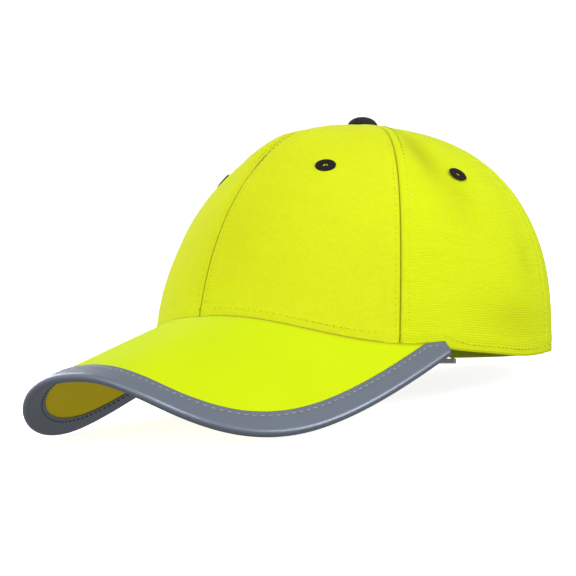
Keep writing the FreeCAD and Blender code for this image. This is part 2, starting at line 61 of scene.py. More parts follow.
# ---------------------------------------------------------------------------------------
# Crown panels: six gores of fluorescent yellow woven polyester, cut to a curve and seamed
# from the rim to the top button. Their seam allowances lie flat under twin topstitching.
# ---------------------------------------------------------------------------------------
# The cap is drafted in millimetres about the plane of its rim, facing -Y; placed() pitches
# it and sets it down in metres, as it rests on a table.
DEPTH_FRONT = 88.0
DEPTH_BACK = 105.0
HALF_WIDTH = 88.5
EGG = -0.115
CROWN_HEIGHT = 110.5
APEX_BACK = 13.5
BULGE = 0.074
RISE = (1.90, -0.42, -0.05)
SPREAD = (2.69, 0.34, -0.40)
REST_PITCH = 11.69
REST_LIFT = 18.03
REST_FORWARD = 22.2
FRONT_SEAM = 65.0
BACK_SEAM = 122.0
PANEL_THICK = 0.9
PANEL_TOP = 0.992
PEAK_THICK = 3.0
CLOTH_YELLOW = (0.765, 0.93, 0.012)
# Dark olive for painted shade: the cloth is mixed towards it in seams, hollows, along the hem and at
# the peak's root.
SHADE_OLIVE = (0.36, 0.30, 0.004, 1.0)
RIB_PITCH = 0.0011
WEAVE_PITCH = 0.0010
# Painted glow: the cloth emits a little of its own colour, standing in for its fluorescence and lifting
# its shading.
FLUORESCENT_GLOW = 0.07
SEAM_DITCH = 0.55
LIP_HEIGHT = 1.3
LIP_START = (0.70, 0.84)
LIP_STOP = (0.92, 0.97)
ALLOWANCE = 7.0
STITCH_FROM_SEAM = 2.8
STITCH_PITCH = 3.0
PANEL_GAP = 0.1
PANEL_COLUMNS = 96
PANEL_ROWS = 150
DITCH_WIDTH = 0.55
ALLOWANCE_RISE = 0.30
PULL_DEPTH = 0.11
PUCKER_RISE = 0.16
PUCKER_SIZE = 11.0
PUCKER_REACH = 9.0
BROAD_RISE = 0.55
BROAD_SIZE = 58.0
HEM_RISE = 0.22
HEM_FOLD = (6.0, 8.5)
HEM_ROW_DEPTH = 0.16
HEM_ROW = 3.2
HOLLOW_SHADE = 0.25
FRONT_YELLOW = (0.775, 0.865, 0.015)
CLOTH_RELIEF = 0.00028


def cosd(angle):
    return np.cos(np.radians(angle))


def sind(angle):
    return np.sin(np.radians(angle))


def smooth(value, low, high):
    """0 below low, 1 above high, an S-shaped cubic between."""
    share = np.clip((value - low) / (high - low), 0.0, 1.0)
    return share * share * (3 - 2 * share)


def placed(points):
    """Points drafted in millimetres, pitched about X, lifted to the table, in metres."""
    x, y, z = points[..., 0], points[..., 1], points[..., 2]
    c, s = cosd(REST_PITCH), sind(REST_PITCH)
    return np.stack([x, y * c + z * s + REST_FORWARD, -y * s + z * c + REST_LIFT], -1) / 1000.0


def skin(t, h):
    """Outer skin: an egg-shaped rim, shrunk by a superellipse of the height share h at angle t."""
    t, h = np.broadcast_arrays(np.asarray(t, float), np.asarray(h, float))
    front, side = cosd(t), sind(t) ** 2
    rise = RISE[0] + RISE[1] * front + RISE[2] * side
    spread = SPREAD[0] + SPREAD[1] * front + SPREAD[2] * side
    share = np.clip(h, 0.0, 1.0)
    left = (1 - share ** rise) ** (1 / spread) * (1 + BULGE * share)
    depth = (DEPTH_FRONT + DEPTH_BACK) / 2 + (DEPTH_FRONT - DEPTH_BACK) / 2 * front
    x = HALF_WIDTH * sind(t) * (1 + EGG * front) * left
    y = -depth * front * left + APEX_BACK * share * share
    return np.stack([x, y, CROWN_HEIGHT * h], -1)


def unit(vectors):
    return vectors / np.linalg.norm(vectors, axis=-1, keepdims=True)


def outward(t, h):
    """Unit normal of the skin, from the cross product of small steps round and up it."""
    rise = np.arcsin(np.clip(h, 0.0, 1.0))
    low, high = np.maximum(rise - 1e-3, 0.0), np.minimum(rise + 1e-3, np.pi / 2)
    across = skin(t + 0.05, h) - skin(t - 0.05, h)
    return unit(np.cross(across, skin(t, np.sin(high)) - skin(t, np.sin(low))))


def inside(t, h, inset):
    """Points a given depth inwards from the outer skin."""
    return skin(t, h) - outward(t, h) * np.asarray(inset)[..., None]


# The peak's top face is needed here too, because the front panels are hemmed along it.
PEAK_SEAT = 12.9
PEAK_FALL = 0.43
ARCH_SPAN = 88.0
ARCH_DROP = 55.0
ARCH_GAIN = 0.294
ARCH_TEMPLE = 9.3
ARCH_POWER = 2.41
TEMPLE_REACH = 80.0
TEMPLE = 76.6
TEMPLE_BLEND = 12.0
CORNER_START = 102.0
CORNER_END = 140.0
CORNER_RISE = 6.5


def peak_height(x, y):
    """Height of the peak: a slope down to the tip, less an arch that grows with |x|."""
    out = -y - DEPTH_FRONT
    temple = np.clip(-out / TEMPLE_REACH, 0.0, 1.0) ** 2
    drop = ARCH_DROP + ARCH_GAIN * out + ARCH_TEMPLE * temple
    return PEAK_SEAT - PEAK_FALL * out - drop * np.abs(x / ARCH_SPAN) ** ARCH_POWER


def rim_fade(t):
    """1 along the peak, falling to 0 just behind its corners."""
    return np.clip(1 - np.maximum(np.abs(t) - TEMPLE, 0.0) / TEMPLE_BLEND, 0.0, 1.0) ** 2


def seat(t):
    """Height share where the crown meets the peak, found by repeated correction."""
    angle = np.clip(np.asarray(t, float), -TEMPLE, TEMPLE)
    h = np.full_like(angle, 0.05)
    for _ in range(30):
        point = skin(angle, h)
        h = h + 0.6 * (peak_height(point[..., 0], point[..., 1]) / CROWN_HEIGHT - h)
    return h * rim_fade(t)


def hem(t):
    """Height share of the panels' lower edge: under the peak's top face, level behind it,
    then swept up by an S-shaped cubic to the corners of the back opening."""
    sweep = CORNER_RISE / CROWN_HEIGHT * smooth(np.abs(t), CORNER_START, CORNER_END)
    return np.maximum(seat(t) - PEAK_THICK / CROWN_HEIGHT * rim_fade(t), sweep)


def hem_at(t):
    """The lower edge's height share at a single angle."""
    return float(hem(np.array([t]))[0])


def climb(low, top, rows):
    """Height shares from low to top, closing up towards the flat top of the crown."""
    start = np.degrees(np.arcsin(low))
    return sind(start + (90.0 * top - start) * np.linspace(0, 1, rows)[:, None])


def crowded(count, pull=0.78):
    """Shares from 0 to 1 that crowd together at both ends, by a sine correction."""
    s = np.linspace(0, 1, count)
    return s - pull * np.sin(2 * np.pi * s) / (2 * np.pi)


def run_lengths(points, axis):
    """Distance travelled along one axis of a grid of points, from 0."""
    steps = np.linalg.norm(np.diff(points, axis=axis), axis=-1)
    start = np.zeros_like(np.take(steps, [0], axis=axis))
    return np.concatenate([start, np.cumsum(steps, axis=axis)], axis=axis)


def swell(u, v, seed, size, count=7):
    """Gentle irregular relief: a sum of plane waves of random heading about one size."""
    pick = np.random.default_rng(seed)
    total = np.zeros(np.broadcast_shapes(u.shape, v.shape))
    for _ in range(count):
        heading, phase = pick.uniform(0, 2 * np.pi, 2)
        wave = 2 * np.pi / (size * pick.uniform(0.7, 1.5))
        total += np.sin((u * np.cos(heading) + v * np.sin(heading)) * wave + phase)
    return total / count


def outwards(points, faces):
    """Faces turned over if the volume they enclose, summed over triangles, is negative."""
    a, b, c, d = (points[faces[:, k]] for k in range(4))
    volume = (np.cross(b, c) * a).sum() + (np.cross(c, d) * a).sum()
    return faces if volume > 0 else faces[:, ::-1]


def linked(name, data):
    """A new object for a mesh, lamp or camera, put in the scene."""
    made = bpy.data.objects.new(name, data)
    bpy.context.scene.collection.objects.link(made)
    return made


def smooth_mesh(name, points, faces, material):
    """A smooth-shaded mesh of one material, from points in millimetres."""
    mesh = bpy.data.meshes.new(name)
    mesh.from_pydata(placed(points), [], faces)
    mesh.polygons.foreach_set("use_smooth", np.ones(len(mesh.polygons), bool))
    mesh.materials.append(material)
    return mesh


def piece(name, points, faces, material, body, uv=None, painted_shade_mask=None):
    """A mesh object from points in millimetres, riding on a body of the frame, with an optional
    mask of painted shade.
    """
    flat = points.reshape(-1, 3)
    mesh = smooth_mesh(name, flat, outwards(flat, faces).tolist(), material)
    if uv is not None:
        layer = mesh.uv_layers.new(name="UVMap")
        corner = np.zeros(len(mesh.loops), np.int32)
        mesh.loops.foreach_get("vertex_index", corner)
        layer.data.foreach_set("uv", (uv.reshape(-1, 2)[corner] / 1000.0).ravel().astype(np.float32))
    if painted_shade_mask is not None:
        layer = mesh.attributes.new("painted_shade_mask", "FLOAT", "POINT")
        layer.data.foreach_set("value", painted_shade_mask.ravel().astype(np.float32))
    mesh.update()
    made = linked(name, mesh)
    if body:
        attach(made, body)
    return made


def border(index, size):
    """Walls round the edge of a block of a grid, between its front and its back."""
    loop = np.concatenate([index[0], index[1:, -1], index[-1, -2::-1], index[-2:0:-1, 0]])
    after = np.roll(loop, -1)
    return np.stack([after, loop, loop + size, after + size], -1)


def slab(front, back, hole=None):
    """Points and faces of a closed sheet: a front grid, a back grid turned over, walls round
    its edge and round a block of cells left out as a hole."""
    rows, cols = front.shape[:2]
    index = np.arange(rows * cols).reshape(rows, cols)
    quads = np.stack([index[:-1, :-1], index[:-1, 1:], index[1:, 1:], index[1:, :-1]], -1)
    kept = np.ones(quads.shape[:2], bool)
    walls = [border(index, index.size)]
    if hole:
        r0, r1, c0, c1 = hole
        kept[r0:r1, c0:c1] = False
        walls.append(border(index[r0:r1 + 1, c0:c1 + 1], index.size)[:, ::-1])
    quads = quads[kept]
    faces = np.concatenate([quads, quads[:, ::-1] + index.size, *walls])
    return np.concatenate([front.reshape(-1, 3), back.reshape(-1, 3)]), faces


class Wire:
    """A shader socket that can be used in sums; each sum adds a Math node."""

    def __init__(self, tree, socket):
        self.tree = tree
        self.socket = socket

    def join(self, operation, first, second=None):
        values = {0: first} if second is None else {0: first, 1: second}
        return self.add("ShaderNodeMath", {"operation": operation}, values)

    def add(self, kind, settings=None, values=None, out=0):
        """One node: its settings first, then the value or link of each named socket."""
        node = self.tree.nodes.new(kind)
        for key, value in (settings or {}).items():
            setattr(node, key, value)
        for key, value in (values or {}).items():
            if isinstance(value, Wire):
                self.tree.links.new(value.socket, node.inputs[key])
            else:
                node.inputs[key].default_value = value
        return Wire(self.tree, node.outputs[out])

    def __add__(self, other): return self.join("ADD", self, other)
    def __radd__(self, other): return self.join("ADD", other, self)
    def __sub__(self, other): return self.join("SUBTRACT", self, other)
    def __rsub__(self, other): return self.join("SUBTRACT", other, self)
    def __mul__(self, other): return self.join("MULTIPLY", self, other)
    def __rmul__(self, other): return self.join("MULTIPLY", other, self)
    def __truediv__(self, other): return self.join("DIVIDE", self, other)
    def __rtruediv__(self, other): return self.join("DIVIDE", other, self)
    def __pow__(self, other): return self.join("POWER", self, other)
    def __neg__(self): return self.join("MULTIPLY", self, -1.0)
    def sine(self): return self.join("SINE", self)

    def noise(self, place, scale, detail=2.0):
        """Noise from 0 to 1 whose grain is about 1/scale metres."""
        return self.add("ShaderNodeTexNoise", {}, {"Vector": place, "Scale": scale, "Detail": detail})

    def mix(self, share, first, second):
        """Colour between two, by a share that may vary."""
        values = {"Factor": share, 6: first, 7: second}
        return self.add("ShaderNodeMix", {"data_type": "RGBA"}, values, 2)


def fresh_material(name, **constants):
    """A new material with its constants set on the shader, and a Wire to build from."""
    material = bpy.data.materials.new(name)
    material.use_nodes = True
    shader = material.node_tree.nodes["Principled BSDF"]
    for key, value in constants.items():
        shader.inputs[key.replace("_", " ")].default_value = value
    return material, Wire(material.node_tree, shader.outputs[0]), shader


def connect(shader, wire, name):
    wire.tree.links.new(wire.socket, shader.inputs[name])


def raise_surface(wire, shader, height, depth):
    """Bump from a height that runs from 0 to 1, this many metres deep."""
    bump = wire.add("ShaderNodeBump", {}, {"Height": height, "Distance": depth, "Strength": 1.0})
    connect(shader, bump, "Normal")


def surface_axes(wire):
    """The piece's own UV place, and its two coordinates in metres."""
    place = wire.add("ShaderNodeUVMap", {"uv_map": "UVMap"})
    axes = wire.add("ShaderNodeSeparateXYZ", {}, {0: place})
    first, second = (Wire(axes.tree, axes.socket.node.outputs[k]) for k in range(2))
    return place, first, second


def stripes(along, pitch):
    """Even stripes from 0 to 1, by a sine of this pitch in metres."""
    return (along * (2 * math.pi / pitch)).sine() * 0.5 + 0.5


def shade(colour, share):
    return tuple(min(1.0, c * share) for c in colour) + (1.0,)


def yellow_cloth(name, colour, rib_depth, weave_depth):
    """Woven polyester: fine ribs across the cloth, a plain weave of uneven threads, mottling,
    and painted shade mixed in towards dark olive by a mask on the mesh.
    """
    # The emission is a painted glow that stands for the cloth's fluorescence.
    material, wire, shader = fresh_material(
        name, Sheen_Weight=0.07, Sheen_Roughness=0.35, Specular_IOR_Level=0.05,
        Emission_Color=(*colour, 1.0), Emission_Strength=FLUORESCENT_GLOW)
    place, across, up = surface_axes(wire)
    drift, blotch = wire.noise(place, 60.0), wire.noise(place, 420.0, 3.0)
    mottle = wire.noise(place, 35.0, 3.0)
    ribs = (up * (2 * math.pi / RIB_PITCH) + drift * 1.5).sine() * 0.5 + 0.5
    warp = (across * (2 * math.pi / WEAVE_PITCH) + drift * 5.0).sine() * 0.5 + 0.5
    weft = (up * (2 * math.pi / WEAVE_PITCH) + drift * 5.0).sine() * 0.5 + 0.5
    weave = (warp * weft + blotch) * 0.5
    # Painted shade: a mask on the mesh mixes the cloth towards dark olive where shade falls.
    painted_shade_mask = wire.add("ShaderNodeAttribute", {"attribute_name": "painted_shade_mask"}, {}, 2)
    tone = mottle * 0.30 + ribs * rib_depth * 0.45 + weave * weave_depth * 0.75
    body = wire.mix(tone, shade(colour, 0.80), shade(colour, 1.16))
    shaded_colour = wire.mix(painted_shade_mask, body, SHADE_OLIVE)
    connect(shader, shaded_colour, "Base Color")
    connect(shader, 0.78 + 0.12 * mottle, "Roughness")
    height = ribs * rib_depth * 0.55 + weave * weave_depth * 0.45
    raise_surface(wire, shader, height, CLOTH_RELIEF)
    return material


PANEL_CLOTH = {
    "front": yellow_cloth("cloth_front", FRONT_YELLOW, 0.20, 0.70),
    "side": yellow_cloth("cloth_side", CLOTH_YELLOW, 0.42, 0.40),
    "back": yellow_cloth("cloth_back", CLOTH_YELLOW, 0.40, 0.40),
}
SPANS = {"front": (0.0, FRONT_SEAM), "side": (FRONT_SEAM, BACK_SEAM), "back": (BACK_SEAM, 180.0)}
SIDES = {"left": 1, "right": -1}
EYELET_TURNS = {"front": 36.1, "side": 91.5, "back": (BACK_SEAM + 180.0) / 2}
EYELET_HEIGHT = 0.744
EYELET_RADIUS = 4.75
EYELET_HOLE = 1.7
OPENING_HALF = 50.0
OPENING_HEIGHT = 50.0
# Soft hollows pressed into the cloth: angle, height share, depth, width round, width up.
HOLLOWS = (
    (77.0, 0.88, 1.3, 5.0, 9.0),
    (80.0, 0.79, 1.2, 4.5, 12.0),
    (88.0, 0.66, 0.7, 7.0, 16.0),
    (104.0, 0.14, 0.8, 20.0, 9.0),
    (111.0, 0.42, 0.5, 5.0, 14.0),
    (-84.0, 0.72, 0.9, 7.0, 15.0),
    (-101.0, 0.30, 0.7, 16.0, 10.0),
    (160.0, 0.72, 0.6, 10.0, 8.0),
    (-163.0, 0.66, 0.6, 10.0, 9.0),
)
# Where the crown has settled or stands up, by distance from a spot: angle, height share,
# rise and radius. It peaks under the button and sinks in front of it.
SETTLED = (
    (-28.0, 0.86, -1.5, 34.0),
    (25.0, 0.95, -0.7, 22.0),
    (-62.0, 0.55, -0.7, 26.0),
    (0.0, 1.0, 1.4, 12.0),
)


def seam_lip(t, h, near):
    """The front panels swell beside their seams near the top: a rise that starts at the seam
    and fades out within the panel, and upwards and downwards."""
    along = smooth(h, *LIP_START) * (1 - smooth(h, *LIP_STOP))
    beside = smooth(near, 0.3, 4.5) * (1 - smooth(near, 10.0, 26.0))
    return LIP_HEIGHT * along * beside * (np.abs(t) < FRONT_SEAM)


def panel_relief(t, h, flat, seed):
    """Outward relief of a panel: ditches at its seams, raised allowances, stitch pull,
    puckers that die out from the seam, a turned hem, and soft hollows."""
    round_run, up_run = run_lengths(flat, 1), run_lengths(flat, 0)
    width = round_run[:, -1:]
    near = np.minimum(round_run, width - round_run)
    room = np.clip(width / 24.0, 0.0, 1.0)
    ditch = -SEAM_DITCH * np.exp(-(near / DITCH_WIDTH) ** 2)
    raised = smooth(near, 0.6, 1.8) * (1 - smooth(near, ALLOWANCE - 1.0, ALLOWANCE + 1.5))
    raised = ALLOWANCE_RISE * raised
    pull = PULL_DEPTH * np.exp(-((near - STITCH_FROM_SEAM) / 0.6) ** 2)
    pull = pull * (0.65 + 0.35 * np.cos(2 * np.pi * up_run / STITCH_PITCH))
    pucker = PUCKER_RISE * swell(up_run, near * 0.25, seed, PUCKER_SIZE)
    pucker = pucker * np.exp(-near / PUCKER_REACH) * smooth(near, 0.5, 3)
    broad = BROAD_RISE * swell(round_run, up_run, seed + 50, BROAD_SIZE) * smooth(near, 2.0, 22.0)
    hem_line = HEM_RISE * (1 - smooth(up_run, *HEM_FOLD))
    hem_line = hem_line - HEM_ROW_DEPTH * np.exp(-((up_run - HEM_ROW) / 0.6) ** 2)
    total = (ditch + raised - pull + pucker + broad) * room + hem_line + seam_lip(t, h, near)
    shadow = np.zeros_like(total)
    for turn, share, depth, wide, tall in HOLLOWS:
        radius = HALF_WIDTH * np.sqrt(np.maximum(1 - share ** 2, 0.1))
        du = np.radians(t - turn) * radius / wide
        dv = (h - share) * CROWN_HEIGHT / tall
        dip = depth * np.exp(-(du ** 2 + dv ** 2)) * smooth(near, 0.0, 4.0)
        total -= dip
        shadow += HOLLOW_SHADE * dip
    for turn, share, rise, radius in SETTLED:
        away = np.linalg.norm(flat - skin(turn, share), axis=-1)
        total += rise * np.exp(-(away / radius) ** 2)
    return total, round_run, up_run, near, shadow


def cloth_at(t, h):
    """A point of the cloth's face, with the settling of the crown but not its creases."""
    point = skin(t, h)
    rise = sum(lift * np.exp(-(np.linalg.norm(point - skin(a, b)) / radius) ** 2)
               for a, b, lift, radius in SETTLED)
    return point + outward(t, h) * rise


def panel(place, side_name):
    """One gore as a closed sheet, opened for its eyelet by leaving out the faces inside it."""
    side = SIDES[side_name]
    start, stop = sorted(side * a for a in SPANS[place])
    gap = np.degrees(PANEL_GAP / HALF_WIDTH)
    t = (start + gap + (stop - start - 2 * gap) * crowded(PANEL_COLUMNS))[None, :]
    low = hem(t[0])[None, :]
    if place == "back":
        low = np.maximum(low, opening_height(t[0])[None, :])
    h = climb(low, PANEL_TOP, PANEL_ROWS)
    t = np.broadcast_to(t, h.shape)
    relief, round_run, up_run, near, shadow = panel_relief(t, h, skin(t, h), 200 + int(stop))
    front = inside(t, h, -relief)
    back = inside(t, h, PANEL_THICK - np.minimum(relief, 0.2))
    middle = skin(side * EYELET_TURNS[place], EYELET_HEIGHT)
    near_middle = np.linalg.norm(front - middle, axis=-1) < EYELET_HOLE
    block_rows, block_cols = np.where(near_middle)
    hole = (block_rows.min(), block_rows.max(), block_cols.min(), block_cols.max())
    points, faces = slab(front, back, hole)
    uv = np.stack([round_run - round_run[:, -1:] / 2, up_run], -1)
    # Painted shade: a dark line in each seam's ditch, a band along the panel's lower edge, and the
    # shade of the hollows.
    painted_shade_share = 0.95 * np.exp(-(near / 0.30) ** 2) + 0.12 * np.exp(-up_run / 2.5) + shadow
    made = piece(f"cloth_{place}_{side_name}", points, faces, PANEL_CLOTH[place], "crown",
                 np.concatenate([uv, uv]), np.concatenate([painted_shade_share, painted_shade_share]))
    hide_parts(f"panel_{place}_{side_name}")


def opening_height(t):
    """Height share of the arched back opening's edge at angle t, by repeated correction."""
    h = np.zeros_like(np.asarray(t, float))
    for _ in range(25):
        x = np.abs(skin(t, h)[..., 0])
        edge = OPENING_HEIGHT * np.sqrt(np.clip(1 - (x / OPENING_HALF) ** 2, 0.0, 1.0))
        h = np.where(np.abs(t) > 90, edge / CROWN_HEIGHT, 0.0)
    return h


for side_name in SIDES:
    for place in SPANS:
        panel(place, side_name)


# ---------------------------------------------------------------------------------------
# Topstitching: a row of yellow thread on each side of every seam and one round the hem.
# Each stitch is a short half-sunk length of thread; between stitches a short dark olive mark paints the
# shade in the needle hole.
# ---------------------------------------------------------------------------------------
THREAD_YELLOW = (0.84, 0.93, 0.025)
# Painted shade: the dark olive of the marks in the needle holes.
HOLE_SHADE_OLIVE = (0.34, 0.32, 0.006)
SEAM_OFFSETS = (-2.2, 3.6)
STITCH_LENGTH = 2.2
THREAD_RADIUS = 0.24
STITCH_SINK = 0.14
NEEDLE_LENGTH = 0.60
NEEDLE_RADIUS = 0.20
NEEDLE_SINK = 0.08
STITCH_LIFT = 0.20
STITCH_CLEAR = 0.03
REAR_STITCH_CLEAR = 9.0
HEM_ROW_END = 147.0
HEM_ROW_UP = 3.0
HEM_ROW_LIFT = 0.12


def thread_material(name, colour, roughness=0.55):
    """Thread: fine fibres shown by noise in its tone, its shine and its relief."""
    material, wire, shader = fresh_material(name, Sheen_Weight=0.03, Specular_IOR_Level=0.12)
    place = wire.add("ShaderNodeTexCoord", {}, {}, 3)
    fibres = wire.noise(place, 2600.0)
    connect(shader, wire.mix(fibres, shade(colour, 0.75), shade(colour, 1.15)), "Base Color")
    connect(shader, roughness + 0.2 * fibres, "Roughness")
    raise_surface(wire, shader, fibres, 0.0001)
    return material


def stitch_template(length, radius, sides=6, rings=5):
    """A closed loop of thread: rings of points along X whose radius swells by a half sine."""
    along = np.linspace(0, 1, rings + 2)[1:-1]
    turn = np.linspace(0, 2 * np.pi, sides, endpoint=False)
    reach = radius * (0.55 + 0.45 * np.sin(np.pi * along))[:, None]
    x = np.broadcast_to(((along - 0.5) * length)[:, None], (rings, sides))
    arch = (0.9 * radius * np.sin(np.pi * along) - 0.45 * radius)[:, None]
    body = np.stack([x, reach * np.cos(turn), reach * np.sin(turn) + arch], -1).reshape(-1, 3)
    ends = np.array([[-length / 2, 0, -radius], [length / 2, 0, -radius]])
    index = np.arange(rings * sides).reshape(rings, sides)
    ahead = np.roll(index, -1, axis=1)
    walls = np.stack([index[:-1], ahead[:-1], ahead[1:], index[1:]], -1).reshape(-1, 4)[:, ::-1]
    first, last = rings * sides, rings * sides + 1
    near_cap = np.stack([ahead[0], index[0], np.full(sides, first), np.full(sides, first)], -1)
    far_cap = np.stack([index[-1], ahead[-1], np.full(sides, last), np.full(sides, last)], -1)
    return np.concatenate([body, ends]), walls, np.concatenate([near_cap, far_cap])[:, :3]


def stitch_row(path, normals, pitch, length, radius, sink=0.0, phase=0.5):
    """Stitches set out along a path of points, each turned to the path and the cloth."""
    run = run_lengths(path, 0)
    marks = np.arange(pitch * phase, run[-1], pitch)
    centre = np.stack([np.interp(marks, run, path[:, k]) for k in range(3)], -1)
    before = np.stack([np.interp(marks - 0.5, run, path[:, k]) for k in range(3)], -1)
    after = np.stack([np.interp(marks + 0.5, run, path[:, k]) for k in range(3)], -1)
    up = unit(np.stack([np.interp(marks, run, normals[:, k]) for k in range(3)], -1))
    ahead = unit(after - before)
    aside = unit(np.cross(up, ahead))
    shape, walls, caps = stitch_template(length, radius)
    points = centre[:, None] + shape[None, :, :1] * ahead[:, None]
    points = points + shape[None, :, 1:2] * aside[:, None]
    points = points + (shape[None, :, 2:] - sink) * up[:, None]
    shift = np.arange(len(marks))[:, None, None] * len(shape)
    return points.reshape(-1, 3), (walls + shift).reshape(-1, 4), (caps + shift).reshape(-1, 3)


def sew(name, rows, material, body="crown"):
    """One object from several stitch rows."""
    points, faces, count = [], [], 0
    for vertices, walls, caps in rows:
        points.append(vertices)
        faces += (walls + count).tolist() + (caps + count).tolist()
        count += len(vertices)
    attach(linked(name, smooth_mesh(name, np.concatenate(points), faces, material)), body)


def settled_path(turn, h, lift):
    """A path on the cloth's face, raised by lift above the draft skin, with its normals."""
    point, normals = skin(turn, h), outward(turn, h)
    for a, b, rise, radius in SETTLED:
        away = np.linalg.norm(point - skin(a, b), axis=-1)
        lift = lift + rise * np.exp(-(away / radius) ** 2)
    return point + normals * np.broadcast_to(lift, turn.shape)[:, None], normals


def beside_seam(t, offset, low, top=0.965, count=240):
    """A path up the skin at a set distance to one side of a seam, with its normals."""
    h = climb(np.array([low]), top, count)[:, 0]
    middle = skin(t, h)
    radius = np.hypot(middle[:, 0], middle[:, 1] - APEX_BACK * h * h)
    turn = t + np.degrees(offset / radius)
    return settled_path(turn, h, STITCH_LIFT + seam_lip(turn, h, abs(offset)))


thread_yellow = thread_material("thread_yellow", THREAD_YELLOW)
seam_rows, hole_shade_rows = [], []


def topstitch(path, normals):
    """One row of thread, and dark marks between its stitches that paint the shade in the needle holes.
    """
    seam_rows.append(stitch_row(path, normals, STITCH_PITCH, STITCH_LENGTH, THREAD_RADIUS, STITCH_SINK))
    hole_shade_rows.append(stitch_row(path, normals, STITCH_PITCH, NEEDLE_LENGTH, NEEDLE_RADIUS, NEEDLE_SINK,
                                phase=1.0))


for turn in (0.0, FRONT_SEAM, -FRONT_SEAM, BACK_SEAM, -BACK_SEAM, 180.0):
    low = hem_at(turn) + STITCH_CLEAR
    if turn == 180.0:
        low = (OPENING_HEIGHT + REAR_STITCH_CLEAR) / CROWN_HEIGHT
    for offset in SEAM_OFFSETS:
        topstitch(*beside_seam(turn, offset, low))
hem_turns = np.linspace(-HEM_ROW_END, HEM_ROW_END, 900)
hem_share = hem(hem_turns) + (PEAK_THICK * rim_fade(hem_turns) + HEM_ROW_UP) / CROWN_HEIGHT
topstitch(*settled_path(hem_turns, hem_share, HEM_ROW_LIFT))
sew("needle_hole_shade", hole_shade_rows, thread_material("hole_shade_olive", HOLE_SHADE_OLIVE, 0.8))
sew("topstitching", seam_rows, thread_yellow)


# ---------------------------------------------------------------------------------------
# Eyelets: six vents worked through the panels in dark thread, a satin-stitched ring round
# a small hole. Each lies flat on the cloth and is slightly wider than it is tall.
# ---------------------------------------------------------------------------------------
EYELET_THREAD = (0.018, 0.013, 0.016)
EYELET_BORE = 1.1
EYELET_SQUASH = 0.84
EYELET_LIFT = 0.42
EYELET_CLEAR = 0.05
EYELET_STRANDS = 36
EYELET_SPOKES = 144
EYELET_SIDES = 14
eyelet_thread = thread_material("thread_dark", EYELET_THREAD, 0.6)


def eyelet(place, side_name):
    """Satin stitch: a rounded oval ring whose thickness ripples with every turn of thread."""
    turn_at = SIDES[side_name] * EYELET_TURNS[place]
    up = outward(turn_at, EYELET_HEIGHT)
    centre = cloth_at(turn_at, EYELET_HEIGHT)
    aside = unit(np.cross([0.0, 0.0, 1.0], up))
    other = np.cross(up, aside)
    around = np.linspace(0, 2 * np.pi, EYELET_SPOKES, endpoint=False)[:, None]
    across = np.linspace(0, 2 * np.pi, EYELET_SIDES, endpoint=False)[None, :]
    middle, half = (EYELET_RADIUS + EYELET_BORE) / 2, (EYELET_RADIUS - EYELET_BORE) / 2
    ripple = 1 + 0.09 * np.cos(EYELET_STRANDS * around)
    radius = middle + half * np.cos(across) * (1 + 0.04 * np.cos(EYELET_STRANDS * around))
    lift = EYELET_CLEAR + EYELET_LIFT * np.sin(across) * ripple
    spoke = np.cos(around)[..., None] * aside
    spoke = spoke + EYELET_SQUASH * np.sin(around)[..., None] * other
    points = centre + radius[..., None] * spoke + lift[..., None] * up
    index = np.arange(EYELET_SPOKES * EYELET_SIDES).reshape(EYELET_SPOKES, EYELET_SIDES)
    ahead, beside = np.roll(index, -1, 0), np.roll(index, -1, 1)
    faces = np.stack([index, ahead, np.roll(ahead, -1, 1), beside], -1).reshape(-1, 4)
    made = piece(f"vent_{place}_{side_name}", points, faces, eyelet_thread, "crown")
    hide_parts(f"eyelet_{place}_{side_name}")


for side_name in SIDES:
    for place in SPANS:
        eyelet(place, side_name)


# ---------------------------------------------------------------------------------------
# Button: a pressed steel core covered in dark twill, riveted through the top of the crown
# where the six panels meet. Its inner parts keep their shapes and get a steel finish.
# ---------------------------------------------------------------------------------------
BUTTON_RADIUS = 7.2
BUTTON_HEIGHT = 5.9
BUTTON_SEAT = 1.4
BUTTON_SHIFT = (-0.5, -0.9)
BUTTON_SIDES = 96
BUTTON_PLEATS = 16
BUTTON_COLOUR = (0.026, 0.021, 0.023)
STEEL = (0.55, 0.55, 0.57)


def dark_twill(name, colour, scale=1400.0):
    """Twill: slanted fine lines on a dull dark ground."""
    material, wire, shader = fresh_material(name, Sheen_Weight=0.04, Specular_IOR_Level=0.12)
    place = wire.add("ShaderNodeTexCoord", {}, {}, 3)
    settings = {"wave_type": "BANDS", "bands_direction": "DIAGONAL"}
    values = {"Vector": place, "Scale": scale, "Distortion": 1.5}
    lines = wire.add("ShaderNodeTexWave", settings, values, 1)
    fluff = wire.noise(place, 700.0, 4.0)
    tone = lines * 0.5 + fluff * 0.5
    connect(shader, wire.mix(tone, shade(colour, 0.7), shade(colour, 1.6)), "Base Color")
    connect(shader, 0.72 + 0.2 * fluff, "Roughness")
    raise_surface(wire, shader, tone, 0.00018)
    return material


